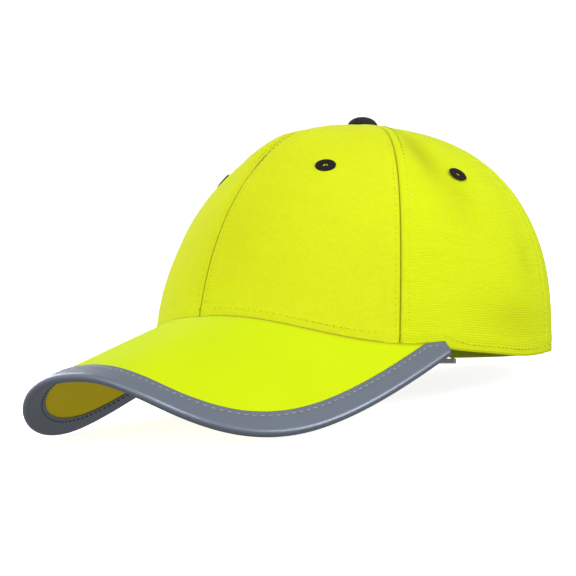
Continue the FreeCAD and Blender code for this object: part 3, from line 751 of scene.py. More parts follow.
def button():
    """Dome of revolution: a flattened quarter circle with the gathered cloth's faint pleats."""
    rise = np.concatenate([np.linspace(-14, 88, 30), [89.9]])[:, None]
    around = np.linspace(0, 2 * np.pi, BUTTON_SIDES, endpoint=False)[None, :]
    pleat = 1 + 0.012 * np.cos(BUTTON_PLEATS * around) * np.exp(-((rise - 8) / 18.0) ** 2)
    radius = BUTTON_RADIUS * np.clip(cosd(rise), 0, 1) ** 0.92 * pleat
    bow = np.sign(rise) * np.abs(sind(rise)) ** 1.05
    height = BUTTON_SEAT + (BUTTON_HEIGHT - BUTTON_SEAT) * bow
    x = radius * np.cos(around) + BUTTON_SHIFT[0]
    y = radius * np.sin(around) + APEX_BACK + BUTTON_SHIFT[1]
    front = np.stack([x, y, np.broadcast_to(height + CROWN_HEIGHT, x.shape)], -1)
    index = np.arange(front.shape[0] * BUTTON_SIDES).reshape(-1, BUTTON_SIDES)
    ahead = np.roll(index, -1, 1)
    faces = np.stack([index[:-1], ahead[:-1], ahead[1:], index[1:]], -1).reshape(-1, 4)
    lids = [index[0][::-1], index[-1]]
    mesh_faces = [tuple(f) for f in faces.tolist()] + [tuple(lid.tolist()) for lid in lids]
    twill = dark_twill("button_twill", BUTTON_COLOUR)
    made = linked("top_button", smooth_mesh("top_button", front.reshape(-1, 3), mesh_faces, twill))
    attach(made, "crown")
    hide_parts("button_cover")


def plain_finish(name, colour, roughness, grain=900.0, depth=0.00006, **constants):
    """Moulded or pressed surface with a fine even grain and slight tonal drift."""
    material, wire, shader = fresh_material(name, **constants)
    place = wire.add("ShaderNodeTexCoord", {}, {}, 3)
    fine, wide = wire.noise(place, grain, 3.0), wire.noise(place, 45.0, 2.0)
    connect(shader, wire.mix(wide, shade(colour, 0.85), shade(colour, 1.15)), "Base Color")
    connect(shader, roughness - 0.08 + 0.16 * fine, "Roughness")
    raise_surface(wire, shader, fine, depth)
    return material


def refinish(material, *nodes):
    """Give CAD nodes whose shape is right their real finish."""
    for name in nodes:
        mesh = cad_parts[name].data
        mesh.materials.clear()
        mesh.materials.append(material)


button()
steel = plain_finish("button_steel", STEEL, 0.35, Metallic=1.0)
refinish(steel, "button_core", "button_washer")


# ---------------------------------------------------------------------------------------
# Seam tapes: black bias tape sewn over the raw seams inside the crown, one along each.
# ---------------------------------------------------------------------------------------
TAPE_BLACK = (0.028, 0.028, 0.032)
TAPE_HALF_WIDTH = 7.0
TAPE_DEPTH = (1.05, 1.55)
TAPE_TOP = 0.925
TAPE_CLEAR = 0.02
REAR_TAPE_CLEAR = 10.0
tape_cloth = dark_twill("tape_cloth", TAPE_BLACK, 1100.0)


def seam_tape(name, t, low):
    """A strip up the inside of a seam, domed slightly between its stitched edges."""
    h = climb(np.array([low]), TAPE_TOP, 60)
    share = np.linspace(-1, 1, 13)[None, :]
    middle = skin(t, h)
    radius = np.hypot(middle[..., 0], middle[..., 1] - APEX_BACK * h * h)
    turn = t + np.degrees(share * TAPE_HALF_WIDTH / radius)
    height = np.broadcast_to(h, turn.shape)
    dome = 0.25 * (1 - share ** 2) - 0.1 * np.exp(-((np.abs(share) - 0.8) / 0.06) ** 2)
    inner = inside(turn, height, np.broadcast_to(TAPE_DEPTH[1] + dome, turn.shape))
    outer = inside(turn, height, np.full(turn.shape, TAPE_DEPTH[0]))
    points, faces = slab(outer, inner)
    made = piece(f"{name}_cloth", points, faces, tape_cloth, "crown")
    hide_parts(name)


seam_tape("seam_tape_front", 0.0, hem_at(0.0) + TAPE_CLEAR)
seam_tape("seam_tape_rear", 180.0, (OPENING_HEIGHT + REAR_TAPE_CLEAR) / CROWN_HEIGHT)
for side_name, side in SIDES.items():
    for place, seam in (("front", FRONT_SEAM), ("back", BACK_SEAM)):
        seam_tape(f"seam_tape_{place}_{side_name}", side * seam, hem_at(seam) + TAPE_CLEAR)


# ---------------------------------------------------------------------------------------
# Peak: a stiff curved board between a top cover and an under cover, cut to a blunt oval.
# Its inner edge is sewn up inside the hem of the front panels. The under cover's yellow is
# painted warmer and darker, as shade.
# ---------------------------------------------------------------------------------------
EDGE_LENGTH = 136.3
EDGE_FLARE = 3.2
EDGE_SIDE_POWER = 0.70
EDGE_FRONT_POWER = 0.867
COVER_THICK = 0.6
COVER_EDGE = 1.8
ROOT_GAP = 0.2
ROOT_FLARE = 0.1
PEAK_COLUMNS = 180
PEAK_ROWS = 64
PEAK_YELLOW = (0.745, 0.955, 0.007)
# Painted shade: the under cover's warmer, darker yellow is the cloth as it looks in the shade under the
# peak.
UNDER_SHADED_YELLOW = (0.95, 0.74, 0.020)
BOARD_COLOUR = (0.80, 0.79, 0.72)


def edge_outline(share):
    """Outer edge of the peak in plan at shares -1 to 1 of its length: x goes as a power of a
    sine and y as a power of a cosine. Also the inward directions and the run to a corner."""
    s = np.linspace(-1, 1, 1201)
    turn = 90.0 * np.sign(s) * np.abs(s) ** 1.5
    half = HALF_WIDTH * sind(TEMPLE) + EDGE_FLARE
    x = half * np.sign(turn) * np.abs(sind(turn)) ** EDGE_SIDE_POWER
    y = -DEPTH_FRONT * cosd(TEMPLE) - EDGE_LENGTH * np.maximum(cosd(turn), 0.0) ** EDGE_FRONT_POWER
    fine = np.stack([x, y], -1)
    run = run_lengths(fine, 0)
    along = (share + 1) / 2 * run[-1]
    points = np.stack([np.interp(along, run, fine[:, k]) for k in range(2)], -1)
    ahead = unit(np.gradient(points, axis=0))
    inward = np.stack([-ahead[:, 1], ahead[:, 0]], -1)
    return points, inward, np.minimum(along, run[-1] - along), along


def peak_face(x, y, depth):
    """Points this deep below the peak's top face along its normal, from central differences."""
    step = 0.05
    slope_x = (peak_height(x + step, y) - peak_height(x - step, y)) / (2 * step)
    slope_y = (peak_height(x, y + step) - peak_height(x, y - step)) / (2 * step)
    normal = unit(np.stack([-slope_x, -slope_y, np.ones_like(slope_x)], -1))
    return np.stack([x, y, peak_height(x, y)], -1) - normal * np.asarray(depth)[..., None], normal


def peak_grid(level, relief, reach):
    """A face of a peak layer: straight plan lines from its outer edge in to the crown's skin,
    dropped on to the arched surface; relief stands up from it by a grid of heights."""
    share = np.linspace(-reach, reach, PEAK_COLUMNS)
    edge, inward, _, _ = edge_outline(share)
    t = share * TEMPLE
    root, away = skin(t, seat(t)), outward(t, seat(t))
    _, lean = peak_face(root[:, 0], root[:, 1], 0.0)
    start = root + away * (ROOT_GAP + level * ((lean * away).sum(-1) + ROOT_FLARE))[:, None]
    end = edge + inward * COVER_EDGE
    k = np.linspace(0, 1, PEAK_ROWS)[:, None]
    x = end[:, 0] + k * (start[:, 0] - end[:, 0])
    y = end[:, 1] + k * (start[:, 1] - end[:, 1])
    reach_in = np.hypot(start[:, 0] - end[:, 0], start[:, 1] - end[:, 1]) * k
    from_root = reach_in[-1:] - reach_in
    heights = relief(x, y, reach_in, from_root)
    return peak_face(x, y, level - heights)[0], from_root


def top_relief(x, y, reach_in, from_root):
    """Tight cloth: a ditch at the crown, small puckers there and at the binding's stitches."""
    pucker = swell(x * 1.2, y * 0.4, 301, 9.0) * np.exp(-from_root / 7.0) * 0.16
    edge = swell(x, y, 302, 12.0) * np.exp(-np.abs(reach_in - 12.0) / 4.0) * 0.10
    broad = 0.22 * swell(x, y, 303, 55.0)
    border = smooth(reach_in, 0.0, 14.0) * smooth(from_root, 0.0, 3.0)
    return (pucker + edge + broad) * border - 0.30 * np.exp(-(from_root / 1.2) ** 2) * border


def flat_relief(x, y, reach_in, from_root):
    """No relief."""
    return np.zeros_like(x)


def peak_cover(name, node, upper, reach, relief, cloth):
    """One cover as a closed sheet between its two faces."""
    front, from_root = peak_grid(upper, relief, reach)
    back, _ = peak_grid(upper + COVER_THICK, flat_relief, reach)
    points, faces = slab(front, back)
    uv = front[..., :2]
    # Painted shade along the cover's root, where it meets the crown.
    painted_shade_share = 0.95 * np.exp(-(from_root / 0.9) ** 2)
    made = piece(name, points, faces, cloth, "crown",
                 np.concatenate([uv, uv]), np.concatenate([painted_shade_share, painted_shade_share]))
    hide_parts(node)


peak_cloth = yellow_cloth("cloth_peak", PEAK_YELLOW, 0.02, 0.12)
under_shaded_cloth = yellow_cloth("cloth_under_shaded", UNDER_SHADED_YELLOW, 0.02, 0.25)
peak_cover("peak_cover_top", "peak_top_cover", 0.0, 1.0, top_relief, peak_cloth)
peak_cover("peak_cover_under", "peak_under_cover", PEAK_THICK - COVER_THICK, 0.97, flat_relief,
           under_shaded_cloth)
refinish(plain_finish("board_plastic", BOARD_COLOUR, 0.5), "peak_board")


# ---------------------------------------------------------------------------------------
# Binding: grey retroreflective tape folded over the peak's edge and sewn through with one
# row of pale thread near its inner edge. It narrows into the two corners at the temples.
# ---------------------------------------------------------------------------------------
TRIM_THICK = 0.5
TRIM_GAP = 0.1
TRIM_WIDTH = 11.3
TRIM_CORNERS = (6.6, 4.4)
TRIM_TAPERS = (0.52, 0.33)
TRIM_STITCH_IN = 2.2
TRIM_STITCH_PITCH = 3.4
TRIM_STITCH_LENGTH = 2.5
TRIM_COLUMNS = 300
LEAF_START = 0.6
REFLECTIVE_GREY = (0.225, 0.262, 0.320)
THREAD_PALE = (0.50, 0.52, 0.53)
THREAD_GREY = (0.025, 0.028, 0.030)


def reflective_tape():
    """Glass beads in resin: a fine even grain over grey, cloudy in its tone and its shine."""
    material, wire, shader = fresh_material("tape_reflective", Specular_IOR_Level=0.55)
    place = wire.add("ShaderNodeUVMap", {"uv_map": "UVMap"})
    beads, clouds = wire.noise(place, 3800.0, 1.0), wire.noise(place, 70.0, 3.0)
    tone = beads * 0.55 + clouds * 0.35 + 0.05
    grey = wire.mix(tone, shade(REFLECTIVE_GREY, 0.80), shade(REFLECTIVE_GREY, 1.22))
    connect(shader, grey, "Base Color")
    connect(shader, 0.30 + 0.12 * clouds, "Roughness")
    connect(shader, 0.45 + 0.25 * clouds, "Metallic")
    raise_surface(wire, shader, beads * 0.7 + clouds * 0.3, 0.00005)
    return material


def leaf(edge, inward, distance):
    """Points and normals of the peak's top face at distances in from its edge, measured on
    the slope."""
    x, y = edge[:, 0], edge[:, 1]
    slope = (peak_height(x + inward[:, 0] * 0.5, y + inward[:, 1] * 0.5) - peak_height(x, y)) / 0.5
    flat = distance / np.hypot(1, slope)
    return peak_face(x + inward[:, 0] * flat, y + inward[:, 1] * flat, 0.0)


def leaf_widths(run):
    """Widths of the top and bottom leaf: full, but less towards the corners by a set taper."""
    leaves = zip(TRIM_CORNERS, TRIM_TAPERS)
    return [np.minimum(TRIM_WIDTH, corner + taper * run) for corner, taper in leaves]


def binding_faces():
    """Outer and inner face of the tape: bottom leaf, half-round fold and top leaf."""
    share = np.linspace(-1, 1, TRIM_COLUMNS)
    edge, inward, run, along = edge_outline(share)
    middle = PEAK_THICK / 2
    fold_in = middle + TRIM_GAP + TRIM_THICK
    near, normal = leaf(edge, inward, fold_in)
    tangent = unit(leaf(edge, inward, fold_in + 0.5)[0] - near)
    centre = near - normal * middle
    rise = np.linspace(-90, 90, 15)[:, None, None]
    out = np.linspace(0, 1, 16)[:, None]
    leaves, ripples = [], []
    for width in leaf_widths(run):
        distance = fold_in + LEAF_START + (width - fold_in - LEAF_START) * out
        sunk = np.exp(-((width - TRIM_STITCH_IN - distance) / 0.9) ** 2)
        beat = 0.6 + 0.4 * np.cos(2 * np.pi * along / TRIM_STITCH_PITCH)
        leaves.append(leaf(edge, inward, distance))
        ripples.append(0.12 * swell(along[None, :], distance, 411, 16.0) - 0.20 * sunk * beat)
    faces = []
    for radius, depth in ((fold_in, 1.0), (middle + TRIM_GAP, 0.0)):
        top = leaves[0][0] + leaves[0][1] * (radius - middle + ripples[0] * depth)[..., None]
        bottom = leaves[1][0] - leaves[1][1] * (radius + middle + ripples[1] * depth)[..., None]
        fold = centre + normal * (radius * sind(rise)) - tangent * (radius * cosd(rise))
        faces.append(np.concatenate([bottom[::-1], fold, top]))
    across = run_lengths(faces[0], 0)
    return faces, np.broadcast_to(along, across.shape), across


def binding():
    """The folded tape as one closed sheet."""
    (outer, inner), along, across = binding_faces()
    points, faces = slab(outer, inner)
    uv = np.stack([along, across], -1)
    made = piece("peak_binding", points, faces, reflective_tape(), "crown", np.concatenate([uv, uv]))
    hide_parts("peak_trim")


def binding_stitches():
    """Pale thread on the top leaf and dark thread on the bottom one, in the same holes."""
    share = np.linspace(-0.99, 0.99, 1200)
    edge, inward, run, _ = edge_outline(share)
    top_width, under_width = leaf_widths(run)
    point, upright = leaf(edge, inward, top_width - TRIM_STITCH_IN)
    top = point + upright * (TRIM_GAP + TRIM_THICK - 0.06)
    pale = stitch_row(top, upright, TRIM_STITCH_PITCH, TRIM_STITCH_LENGTH, 0.22, 0.06)
    sew("binding_stitches", [pale], thread_material("thread_pale", THREAD_PALE))
    point, upright = leaf(edge, inward, under_width - TRIM_STITCH_IN)
    bottom = point - upright * (PEAK_THICK + TRIM_GAP + TRIM_THICK)
    dark = stitch_row(bottom, -upright, TRIM_STITCH_PITCH, TRIM_STITCH_LENGTH, 0.24, 0.10)
    sew("binding_stitches_under", [dark], thread_material("thread_grey", THREAD_GREY))


binding()
binding_stitches()


# ---------------------------------------------------------------------------------------
# Back opening: an arch cut out of the two back panels and bound with a folded strip of the
# crown's own cloth, sewn through near its edge.
# ---------------------------------------------------------------------------------------
OPENING_TRIM = 8.0
ARCH_START = 8.0
ARCH_COLUMNS = 120
ARCH_ROW = 5.5
ARCH_ROW_LIFT = 0.62


def angle_at(x, h):
    """Angle at which the skin's back half lies this far from the middle, by bisection."""
    low, high = np.full(x.shape, 90.0), np.full(x.shape, 180.0)
    for _ in range(36):
        middle = (low + high) / 2
        wide = skin(middle, h)[..., 0] > np.abs(x)
        low, high = np.where(wide, middle, low), np.where(wide, high, middle)
    return np.sign(x) * low


def arch(turn, reach, inset):
    """Points beside the opening: an ellipse grown by reach, laid on the skin and sunk in."""
    turn, reach, inset = np.broadcast_arrays(turn, reach, inset)
    x = (OPENING_HALF + reach) * cosd(turn)
    h = (OPENING_HEIGHT + reach) * sind(turn) / CROWN_HEIGHT
    return inside(angle_at(x, h), h, inset)


def opening_binding():
    """Inner leaf, half-round fold and outer leaf round the arch."""
    half, turn = PANEL_THICK / 2, np.linspace(ARCH_START, 180.0 - ARCH_START, ARCH_COLUMNS)[None, :]
    reach = np.linspace(1.0, OPENING_TRIM, 9)[:, None]
    faces = []
    for radius in (half + TRIM_GAP + TRIM_THICK, half + TRIM_GAP):
        fold = np.linspace(-80, 80, 9)[:, None]
        inner_leaf = arch(turn, reach[::-1], half + radius)
        bend = arch(turn, -radius * cosd(fold), half - radius * sind(fold))
        outer_leaf = arch(turn, reach, half - radius)
        faces.append(np.concatenate([inner_leaf, bend, outer_leaf]))
    across, along = run_lengths(faces[0], 0), run_lengths(faces[0], 1)
    points, quads = slab(*faces)
    uv = np.stack([along, across], -1)
    made = piece("opening_binding", points, quads, PANEL_CLOTH["back"], "crown",
                 np.concatenate([uv, uv]), np.zeros(2 * uv.shape[0] * uv.shape[1]))
    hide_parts("opening_trim")
    path = arch(turn[0], ARCH_ROW, -ARCH_ROW_LIFT)
    normals = unit(arch(turn[0], ARCH_ROW, -ARCH_ROW_LIFT - 1.0) - path)
    row = stitch_row(path, normals, STITCH_PITCH, STITCH_LENGTH, THREAD_RADIUS, 0.10)
    sew("opening_stitches", [row], thread_yellow)


opening_binding()


# ---------------------------------------------------------------------------------------
# Sweatband: a folded band of black wicking knit over thin foam, sewn in round the rim from
# temple to temple and on to the back opening. It is quilted by one row along its middle.
# ---------------------------------------------------------------------------------------
BAND_INSET = 1.75
BAND_THICK = 2.25
BAND_HEIGHT = 32.0
BAND_END = 140.0
BAND_CLEAR = 0.005
BAND_COLUMNS = 360
BAND_ROWS = 40
LOOP_WIDTH = 0.0016
LOOP_TALL = 0.0013
KNIT_BLACK = (0.030, 0.030, 0.034)


def knit_cloth():
    """Wicking knit: tiny staggered loops, from the product of two sines, on dull black."""
    material, wire, shader = fresh_material("knit_black", Sheen_Weight=0.4, Specular_IOR_Level=0.2)
    place, across, up = surface_axes(wire)
    wale, course = (across * (2 * math.pi / LOOP_WIDTH)).sine(), (up * (2 * math.pi / LOOP_TALL)).sine()
    loops = wale * course * 0.5 + 0.5
    fluff = wire.noise(place, 900.0, 3.0)
    tone = loops * 0.6 + fluff * 0.4
    connect(shader, wire.mix(tone, shade(KNIT_BLACK, 0.6), shade(KNIT_BLACK, 1.8)), "Base Color")
    connect(shader, 0.75 + 0.2 * fluff, "Roughness")
    raise_surface(wire, shader, tone, 0.00025)
    return material


def sweatband():
    """Outer face on the crown; inner face puffed by half sines between its sewn rows."""
    t = np.linspace(-BAND_END, BAND_END, BAND_COLUMNS)[None, :]
    t = np.broadcast_to(t, (BAND_ROWS, BAND_COLUMNS))
    k = np.linspace(0, 1, BAND_ROWS)[:, None]
    h = hem(t[0])[None, :] + BAND_CLEAR + (BAND_HEIGHT / CROWN_HEIGHT - BAND_CLEAR) * k
    puff = 0.35 + 0.65 * np.abs(np.sin(2 * np.pi * k)) ** 0.45
    ease = smooth(np.abs(t), BAND_END, BAND_END - 4.0)
    depth = BAND_INSET + BAND_THICK * puff * (0.4 + 0.6 * ease)
    outer, inner = inside(t, h, np.full(t.shape, BAND_INSET)), inside(t, h, depth)
    points, faces = slab(outer, inner)
    uv = np.stack([run_lengths(outer, 1), run_lengths(outer, 0)], -1)
    made = piece("band_padded", points, faces, knit_cloth(), "crown", np.concatenate([uv, uv]))
    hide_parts("sweatband")


sweatband()


# ---------------------------------------------------------------------------------------
# Closure: a woven strap from the left of the opening goes through a moulded ring held by a
# short tab on the right, and folds back outside itself, gripped by hook and loop.
# ---------------------------------------------------------------------------------------
STRAP_LOW = 6.5
STRAP_HIGH = 26.5
STRAP_LEVEL = 0.14
STRAP_THICK = 1.1
STRAP_INSET = 2.1
STRAP_START = 142.0
FLAP_INSET = -1.1
FLAP_TIP = 162.0
FLAP_ROOT = 190.3
RING_NEAR = 192.0
RING_FAR = 199.5
TAB_RETURN = 203.0
TAB_START = 218.0
BEND_START = 0.6
FLAP_BEND = 11.0
PATCH_MARGIN = 1.5
HOOK_MIDDLE = 0.55
HOOK_THICK = 0.9
LOOP_MIDDLE = 1.65
LOOP_THICK = 0.7
HOOK_SPAN = (FLAP_TIP + 1.5, RING_NEAR - 8.0)
LOOP_SPAN = (STRAP_START + 16.0, RING_NEAR - 6.0)
FLAP_ROW = 2.6
TACK_TURNS = (STRAP_START + 1.5, STRAP_START + 4.0)
TACK_SHARES = (0.085, 0.20)
TACK_POINTS = 60
WEBBING_RIB = 0.0011
WEBBING_WARP = 0.0009
STRAP_YELLOW = (0.66, 0.80, 0.030)
RING_WHITE = (0.80, 0.80, 0.78)
NAP_BLACK = (0.030, 0.030, 0.033)


def webbing_cloth():
    """Flat woven webbing: close ribs across the strap crossed by finer warp threads."""
    material, wire, shader = fresh_material("webbing_yellow", Sheen_Weight=0.2, Specular_IOR_Level=0.22)
    place, along, across = surface_axes(wire)
    ribs, warp = stripes(along, WEBBING_RIB), stripes(across, WEBBING_WARP)
    drift = wire.noise(place, 120.0)
    tone = ribs * 0.35 + warp * 0.30 + drift * 0.35
    connect(shader, wire.mix(tone, shade(STRAP_YELLOW, 0.72), shade(STRAP_YELLOW, 1.15)), "Base Color")
    connect(shader, 0.70 + 0.15 * drift, "Roughness")
    raise_surface(wire, shader, ribs * 0.6 + warp * 0.4, 0.00025)
    return material


def nap_cloth():
    """Hook and loop tape: a dense dull pile from two sizes of noise."""
    material, wire, shader = fresh_material("nap_black", Sheen_Weight=0.5, Specular_IOR_Level=0.2)
    place = wire.add("ShaderNodeTexCoord", {}, {}, 3)
    pile, tufts = wire.noise(place, 2600.0, 2.0), wire.noise(place, 700.0, 2.0)
    tone = pile * 0.7 + tufts * 0.3
    connect(shader, wire.mix(tone, shade(NAP_BLACK, 0.4), shade(NAP_BLACK, 2.4)), "Base Color")
    connect(shader, 0.80 + 0.15 * tufts, "Roughness")
    raise_surface(wire, shader, tone, 0.0006)
    return material


def band(t, inset):
    """Plan points of the closure, which follows the crown with upright sides, at height 0."""
    t, inset = np.broadcast_arrays(np.asarray(t, float), np.asarray(inset, float))
    point, flat = skin(t, STRAP_LEVEL), outward(t, STRAP_LEVEL) * np.array([1.0, 1.0, 0.0])
    return point * np.array([1.0, 1.0, 0.0]) - unit(flat) * inset[..., None]


def wrap_path(bar_turn, side, start, stop):
    """Middle line of webbing that runs up to a bar, half round it and back outside itself."""
    bend = bar_turn - side * BEND_START
    level = (STRAP_INSET + FLAP_INSET + STRAP_THICK) / 2
    centre = band(bar_turn, level)
    normal = unit(band(bar_turn, 0.0) - band(bar_turn, 1.0))
    along = np.cross([0.0, 0.0, 1.0], normal) * side
    radius = STRAP_INSET - level + STRAP_THICK / 2
    turn = np.linspace(10, 170, 15)[:, None]
    arrive = band(np.linspace(start, bend, 40), STRAP_INSET + STRAP_THICK / 2)
    leave = band(np.linspace(bend, stop, 16), FLAP_INSET + STRAP_THICK / 2)
    round_bar = centre - normal * radius * cosd(turn) + along * radius * sind(turn)
    return np.concatenate([arrive, round_bar, leave])


def strap_tube(path, low, high, thick):
    """Webbing along a plan path: a superellipse section, upright, with flat ends, and a
    selvedge that thickens slightly at each edge."""
    ahead = unit(np.gradient(path, axis=0))
    aside = np.cross(ahead, [0.0, 0.0, 1.0])
    turn = np.linspace(0, 2 * np.pi, 36, endpoint=False)
    c, s = np.cos(turn), np.sin(turn)
    up = (low + high) / 2 + (high - low) / 2 * np.sign(c) * np.abs(c) ** 0.5
    out = thick / 2 * np.sign(s) * np.abs(s) ** 0.35
    points = path[:, None] + out[None, :, None] * aside[:, None]
    points = points + up[None, :, None] * np.array([0.0, 0.0, 1.0])
    count, ring = len(path), len(turn)
    index = np.arange(count * ring).reshape(count, ring)
    beside = np.roll(index, -1, 1)
    walls = np.stack([index[:-1], beside[:-1], beside[1:], index[1:]], -1).reshape(-1, 4)
    half = np.arange(ring // 2 - 1)
    lid = np.stack([half, half + 1, ring - 2 - half, ring - 1 - half], -1)
    faces = np.concatenate([walls, lid[:, ::-1], lid + (count - 1) * ring])
    run = np.broadcast_to(run_lengths(path, 0)[:, None], index.shape)
    uv = np.stack([run, np.broadcast_to(up[None, :], index.shape)], -1)
    return points, faces, uv


def strap_piece(name, node, material, path, body,
                low=STRAP_LOW, high=STRAP_HIGH, thick=STRAP_THICK):
    """Webbing or tape along a path, in place of one plain node."""
    points, faces, uv = strap_tube(path, low, high, thick)
    made = piece(name, points, faces, material, body, uv)
    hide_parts(node)
    return made


def strap_row(path, height, body, name, out):
    """A row of stitches along a strap at one height, on its outer or inner side."""
    ahead = unit(np.gradient(path, axis=0))
    aside = np.cross(ahead, [0.0, 0.0, 1.0])
    raised = path + aside * out + np.array([0.0, 0.0, height])
    sew(name, [stitch_row(raised, aside * np.sign(out), 2.6, 1.9, 0.22, 0.08)], thread_yellow, body)


webbing = webbing_cloth()
nap = nap_cloth()
strap_piece("strap_webbing", "adjust_strap", webbing,
            wrap_path(RING_NEAR, 1, STRAP_START, FLAP_ROOT + 0.2), "crown")
strap_piece("tab_webbing", "ring_tab", webbing,
            wrap_path(RING_FAR, -1, TAB_START, TAB_RETURN), "crown")
moulding = plain_finish("ring_moulding", RING_WHITE, 0.38, Coat_Roughness=0.3, Coat_Weight=0.25)
refinish(moulding, "strap_ring")

flap_path = band(np.linspace(FLAP_ROOT + 0.15, FLAP_TIP, 70), FLAP_INSET + STRAP_THICK / 2)
flap = strap_piece("flap_webbing", "strap_flap", webbing, flap_path, None)
flap_run = run_lengths(flap_path, 0)
bend_end = np.array([np.interp(FLAP_BEND, flap_run, flap_path[:, k]) for k in range(3)])
hinge_height = np.array([0.0, 0.0, (STRAP_LOW + STRAP_HIGH) / 2])
tuple(placed(flap_path[0] + hinge_height))
tuple(placed(bend_end + hinge_height))
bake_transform(flap)
strap_piece("hook_tape", "hook_patch", nap,
            band(np.linspace(*HOOK_SPAN, 50), HOOK_MIDDLE), "flap", STRAP_LOW + PATCH_MARGIN,
            STRAP_HIGH - PATCH_MARGIN, HOOK_THICK)
strap_piece("loop_tape", "loop_patch", nap,
            band(np.linspace(*LOOP_SPAN, 60), LOOP_MIDDLE), "crown", STRAP_LOW + PATCH_MARGIN,
            STRAP_HIGH - PATCH_MARGIN, LOOP_THICK)
tip_path = band(np.linspace(FLAP_TIP + 1.0, HOOK_SPAN[1], 120), FLAP_INSET + STRAP_THICK / 2)
for level, height in (("low", STRAP_LOW + FLAP_ROW), ("high", STRAP_HIGH - FLAP_ROW)):
    strap_row(tip_path, height, "flap", f"flap_stitches_{level}", -STRAP_THICK / 2 - 0.05)


def bar_tack(side):
    """Close zigzag stitches that hold a strap's end, worked through the panel's corner."""
    rows = []
    for turn in TACK_TURNS:
        share = np.linspace(*TACK_SHARES, TACK_POINTS)
        angles = np.full(TACK_POINTS, side * turn)
        path = inside(angles, share, np.full(TACK_POINTS, -0.15))
        rows.append(stitch_row(path, outward(angles, share), 0.8, 1.5, 0.22, 0.05))
    return rows


sew("bar_tacks", bar_tack(1) + bar_tack(-1), thread_yellow)


# ---------------------------------------------------------------------------------------
# Liner: a thin moulded shell with round vents that hangs inside the crown on four round
# hook-and-loop dots, with foam pads bonded to its inside. It pulls down and out.
# ---------------------------------------------------------------------------------------
SHELL_BLACK = (0.028, 0.028, 0.031)
PAD_INSET = 6.7
PAD_THICK = 6.0
FOAM_GREY = (0.050, 0.050, 0.054)
PAD_COLUMNS = 60
PAD_ROWS = 44
DOT_RADIUS = 9.0
DOTS = ((32.5, 0.60), (-32.5, 0.60), (150.0, 0.62), (-150.0, 0.62))
PADS = {
    "pad_front": (-42.0, 42.0, 0.37, 0.56),
    "pad_left": (60.0, 112.0, 0.37, 0.56),
    "pad_right": (-112.0, -60.0, 0.37, 0.56),
    "pad_back": (150.0, 210.0, 0.56, 0.72),
    "pad_crown_front": (-52.0, 52.0, 0.86, 0.985),
    "pad_crown_left": (64.0, 172.0, 0.86, 0.985),
    "pad_crown_right": (-172.0, -64.0, 0.86, 0.985),
}


def foam_cloth():
    """Closed cells: a fine pitted grain on soft dark grey."""
    material, wire, shader = fresh_material("foam_grey", Specular_IOR_Level=0.25, Sheen_Weight=0.15)
    place = wire.add("ShaderNodeTexCoord", {}, {}, 3)
    cells = wire.add("ShaderNodeTexVoronoi", {}, {"Vector": place, "Scale": 1300.0}, 0)
    wide = wire.noise(place, 60.0)
    connect(shader, wire.mix(wide, shade(FOAM_GREY, 0.8), shade(FOAM_GREY, 1.3)), "Base Color")
    connect(shader, 0.78 + 0.12 * wide, "Roughness")
    raise_surface(wire, shader, cells, 0.00018)
    return material


def pad_piece(name, start, stop, low, high, material):
    """A pad bonded to the shell; its thickness falls to its edges as a power of the distance
    from the middle, so its corners are rounded."""
    size = (PAD_ROWS, PAD_COLUMNS)
    u, v = np.linspace(-1, 1, PAD_COLUMNS)[None, :], np.linspace(-1, 1, PAD_ROWS)[:, None]
    t = np.broadcast_to(start + (stop - start) * (u + 1) / 2, size)
    top = np.degrees(np.arcsin(high)) / 90.0
    h = np.broadcast_to(climb(np.array([low]), top, PAD_ROWS), size)
    crown = (1 - np.abs(u) ** 8) ** 0.5 * (1 - np.abs(v) ** 8) ** 0.5
    depth = PAD_INSET + PAD_THICK * (0.22 + 0.78 * crown)
    points, faces = slab(inside(t, h, np.full(t.shape, PAD_INSET)), inside(t, h, depth))
    made = piece(f"{name}_foam", points, faces, material, "liner")
    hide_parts(name)


def dot_discs(name, node, insets, body):
    """Four discs that follow the crown: a square of points bowed out to a circle."""
    u, v = np.meshgrid(np.linspace(-1, 1, 17), np.linspace(-1, 1, 17))
    right, up = u * np.sqrt(1 - v ** 2 / 2), v * np.sqrt(1 - u ** 2 / 2)
    points, faces, count = [], [], 0
    for t, h in DOTS:
        radius = np.hypot(*skin(t, h)[:2])
        climb_rate = np.linalg.norm(skin(t, h + 0.01) - skin(t, h - 0.01)) / 0.02
        turn, share = t + np.degrees(DOT_RADIUS * right / radius), h + DOT_RADIUS * up / climb_rate
        made, quads = slab(*[inside(turn, share, np.full(u.shape, inset)) for inset in insets])
        points.append(made)
        faces.append(quads + count)
        count += len(made)
    made = piece(name, np.concatenate(points), np.concatenate(faces), nap, body)
    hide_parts(node)


refinish(plain_finish("shell_moulding", SHELL_BLACK, 0.5, 700.0, 0.00008), "liner_shell")
foam = foam_cloth()
for pad_name, limits in PADS.items():
    pad_piece(pad_name, *limits, foam)
dot_discs("loop_dot_pile", "loop_dots", (1.1, 1.9), "crown")
dot_discs("hook_dot_pile", "hook_dots", (2.2, 4.4), "liner")


# ---------------------------------------------------------------------------------------
# Studio: a white floor under white surroundings, large soft lamps, and the camera.
# ---------------------------------------------------------------------------------------
CAMERA_PLACE = (0.64054, -0.60994, 0.09441)
CAMERA_TURN = 46.645
CAMERA_RISE = 2.603
CAMERA_ROLL = -6.997
CAMERA_LENS = 119.9
FLOOR_RADIUS = 6.0
FLOOR_DROP = 0.0006
BACKDROP_RADIUS = FLOOR_RADIUS * 0.98
BACKDROP_DROP = 0.5
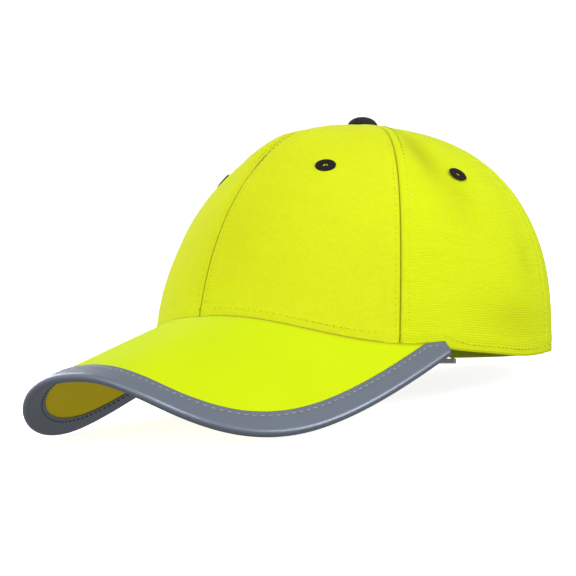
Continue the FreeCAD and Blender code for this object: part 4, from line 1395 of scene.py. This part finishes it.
# Each lamp: its name, its place and the spot it points at in metres, its size, its watts.
LAMPS = (
    ("lamp_key", (0.9, -1.3, 1.3), (0.0, -0.02, 0.06), 1.1, 13.0),
    ("lamp_front", (-0.5, -1.5, 0.7), (0.0, -0.06, 0.04), 0.9, 3.0),
    ("lamp_side", (1.6, 0.5, 0.5), (0.0, 0.02, 0.06), 0.9, 12.0),
    ("lamp_rim", (-1.5, 0.2, 0.6), (0.0, -0.02, 0.06), 0.8, 9.0),
)
FLOOR_GLOW = 0.86
BACKDROP_GLOW = 1.1
SKY_ABOVE = (0.50, 0.50, 0.52, 1.0)
SKY_BELOW = (0.25, 0.25, 0.255, 1.0)


def disc(name, radius, height, sides=96):
    """A flat round floor."""
    turn = np.linspace(0, 2 * np.pi, sides, endpoint=False)
    rim = np.stack([radius * np.cos(turn), radius * np.sin(turn), np.full(sides, height)], -1)
    mesh = bpy.data.meshes.new(name)
    mesh.from_pydata(rim, [], [list(range(sides))])
    return linked(name, mesh)


def floor_white():
    """Nearly white matt paper that glows a little, so it meets its surroundings unseen."""
    material, wire, shader = fresh_material(
        "floor_paper", Specular_IOR_Level=0.0, Emission_Color=(1.0, 1.0, 1.0, 1.0),
        Emission_Strength=FLOOR_GLOW)
    place = wire.add("ShaderNodeTexCoord", {}, {}, 3)
    fibre = wire.noise(place, 300.0, 3.0)
    connect(shader, wire.mix(fibre, (0.86, 0.86, 0.86, 1.0), (0.90, 0.90, 0.90, 1.0)), "Base Color")
    connect(shader, 0.90 + 0.05 * fibre, "Roughness")
    return material


def lamp(name, place, aim, size, watts):
    """A square soft white lamp pointed at a spot."""
    light = bpy.data.lights.new(name, "AREA")
    light.shape = "SQUARE"
    light.size = size
    light.energy = watts
    made = linked(name, light)
    made.location = place
    made.rotation_euler = (Vector(aim) - Vector(place)).to_track_quat("-Z", "Y").to_euler()
    return made


def camera():
    """A long lens at the turn, rise and roll of the view, in degrees."""
    turn, rise, roll = (math.radians(a) for a in (CAMERA_TURN, CAMERA_RISE, CAMERA_ROLL))
    back = Vector((math.sin(turn) * math.cos(rise), -math.cos(turn) * math.cos(rise), math.sin(rise)))
    level = Vector((math.cos(turn), math.sin(turn), 0.0))
    upright = back.cross(level)
    right = level * math.cos(roll) + upright * math.sin(roll)
    up = upright * math.cos(roll) - level * math.sin(roll)
    data = bpy.data.cameras.new("camera")
    data.lens = CAMERA_LENS
    data.sensor_width = 36.0
    data.clip_end = 50.0
    made = linked("camera", data)
    made.matrix_world = Matrix((right, up, back)).transposed().to_4x4()
    made.location = CAMERA_PLACE
    bpy.context.scene.camera = made


def wall(name, radius, low, high, sides=96):
    """An upright round wall, its faces turned inwards."""
    turn = np.linspace(0, 2 * np.pi, sides, endpoint=False)
    ring = np.stack([radius * np.cos(turn), radius * np.sin(turn)], -1)
    points = np.concatenate([np.column_stack([ring, np.full(sides, z)]) for z in (low, high)])
    index = np.arange(sides)
    after = np.roll(index, -1)
    faces = np.stack([after, index, index + sides, after + sides], -1)
    mesh = bpy.data.meshes.new(name)
    mesh.from_pydata(points, [], faces.tolist())
    return linked(name, mesh)


def surroundings():
    """Even light from above that fades by half across the horizon."""
    world = bpy.data.worlds.new("surroundings")
    bpy.context.scene.world = world
    world.use_nodes = True
    shader = world.node_tree.nodes["Background"]
    wire = Wire(world.node_tree, shader.outputs[0])
    place = wire.add("ShaderNodeTexCoord", {}, {}, 0)
    axes = wire.add("ShaderNodeSeparateXYZ", {}, {0: place})
    up = Wire(axes.tree, axes.socket.node.outputs[2])
    fade = wire.add("ShaderNodeMapRange", {"interpolation_type": "SMOOTHSTEP"},
                    {"Value": up, "From Min": -0.25, "From Max": 0.10})
    connect(shader, wire.mix(fade, SKY_BELOW, SKY_ABOVE), "Color")


floor = disc("floor", FLOOR_RADIUS, float(cad_low[2]) - FLOOR_DROP)
floor.data.materials.append(floor_white())
floor.visible_diffuse = False
floor.visible_glossy = False
backdrop = wall("backdrop", BACKDROP_RADIUS, float(cad_low[2]) - BACKDROP_DROP, FLOOR_RADIUS)
backdrop_glow, _, _ = fresh_material(
    "backdrop_paper", Base_Color=(0.0, 0.0, 0.0, 1.0), Specular_IOR_Level=0.0,
    Emission_Color=(1.0, 1.0, 1.0, 1.0), Emission_Strength=BACKDROP_GLOW)
backdrop.data.materials.append(backdrop_glow)
backdrop.visible_diffuse = False
backdrop.visible_glossy = False
backdrop.visible_shadow = False
for settings in LAMPS:
    lamp(*settings)
surroundings()
bpy.context.scene.view_settings.view_transform = "Standard"
camera()
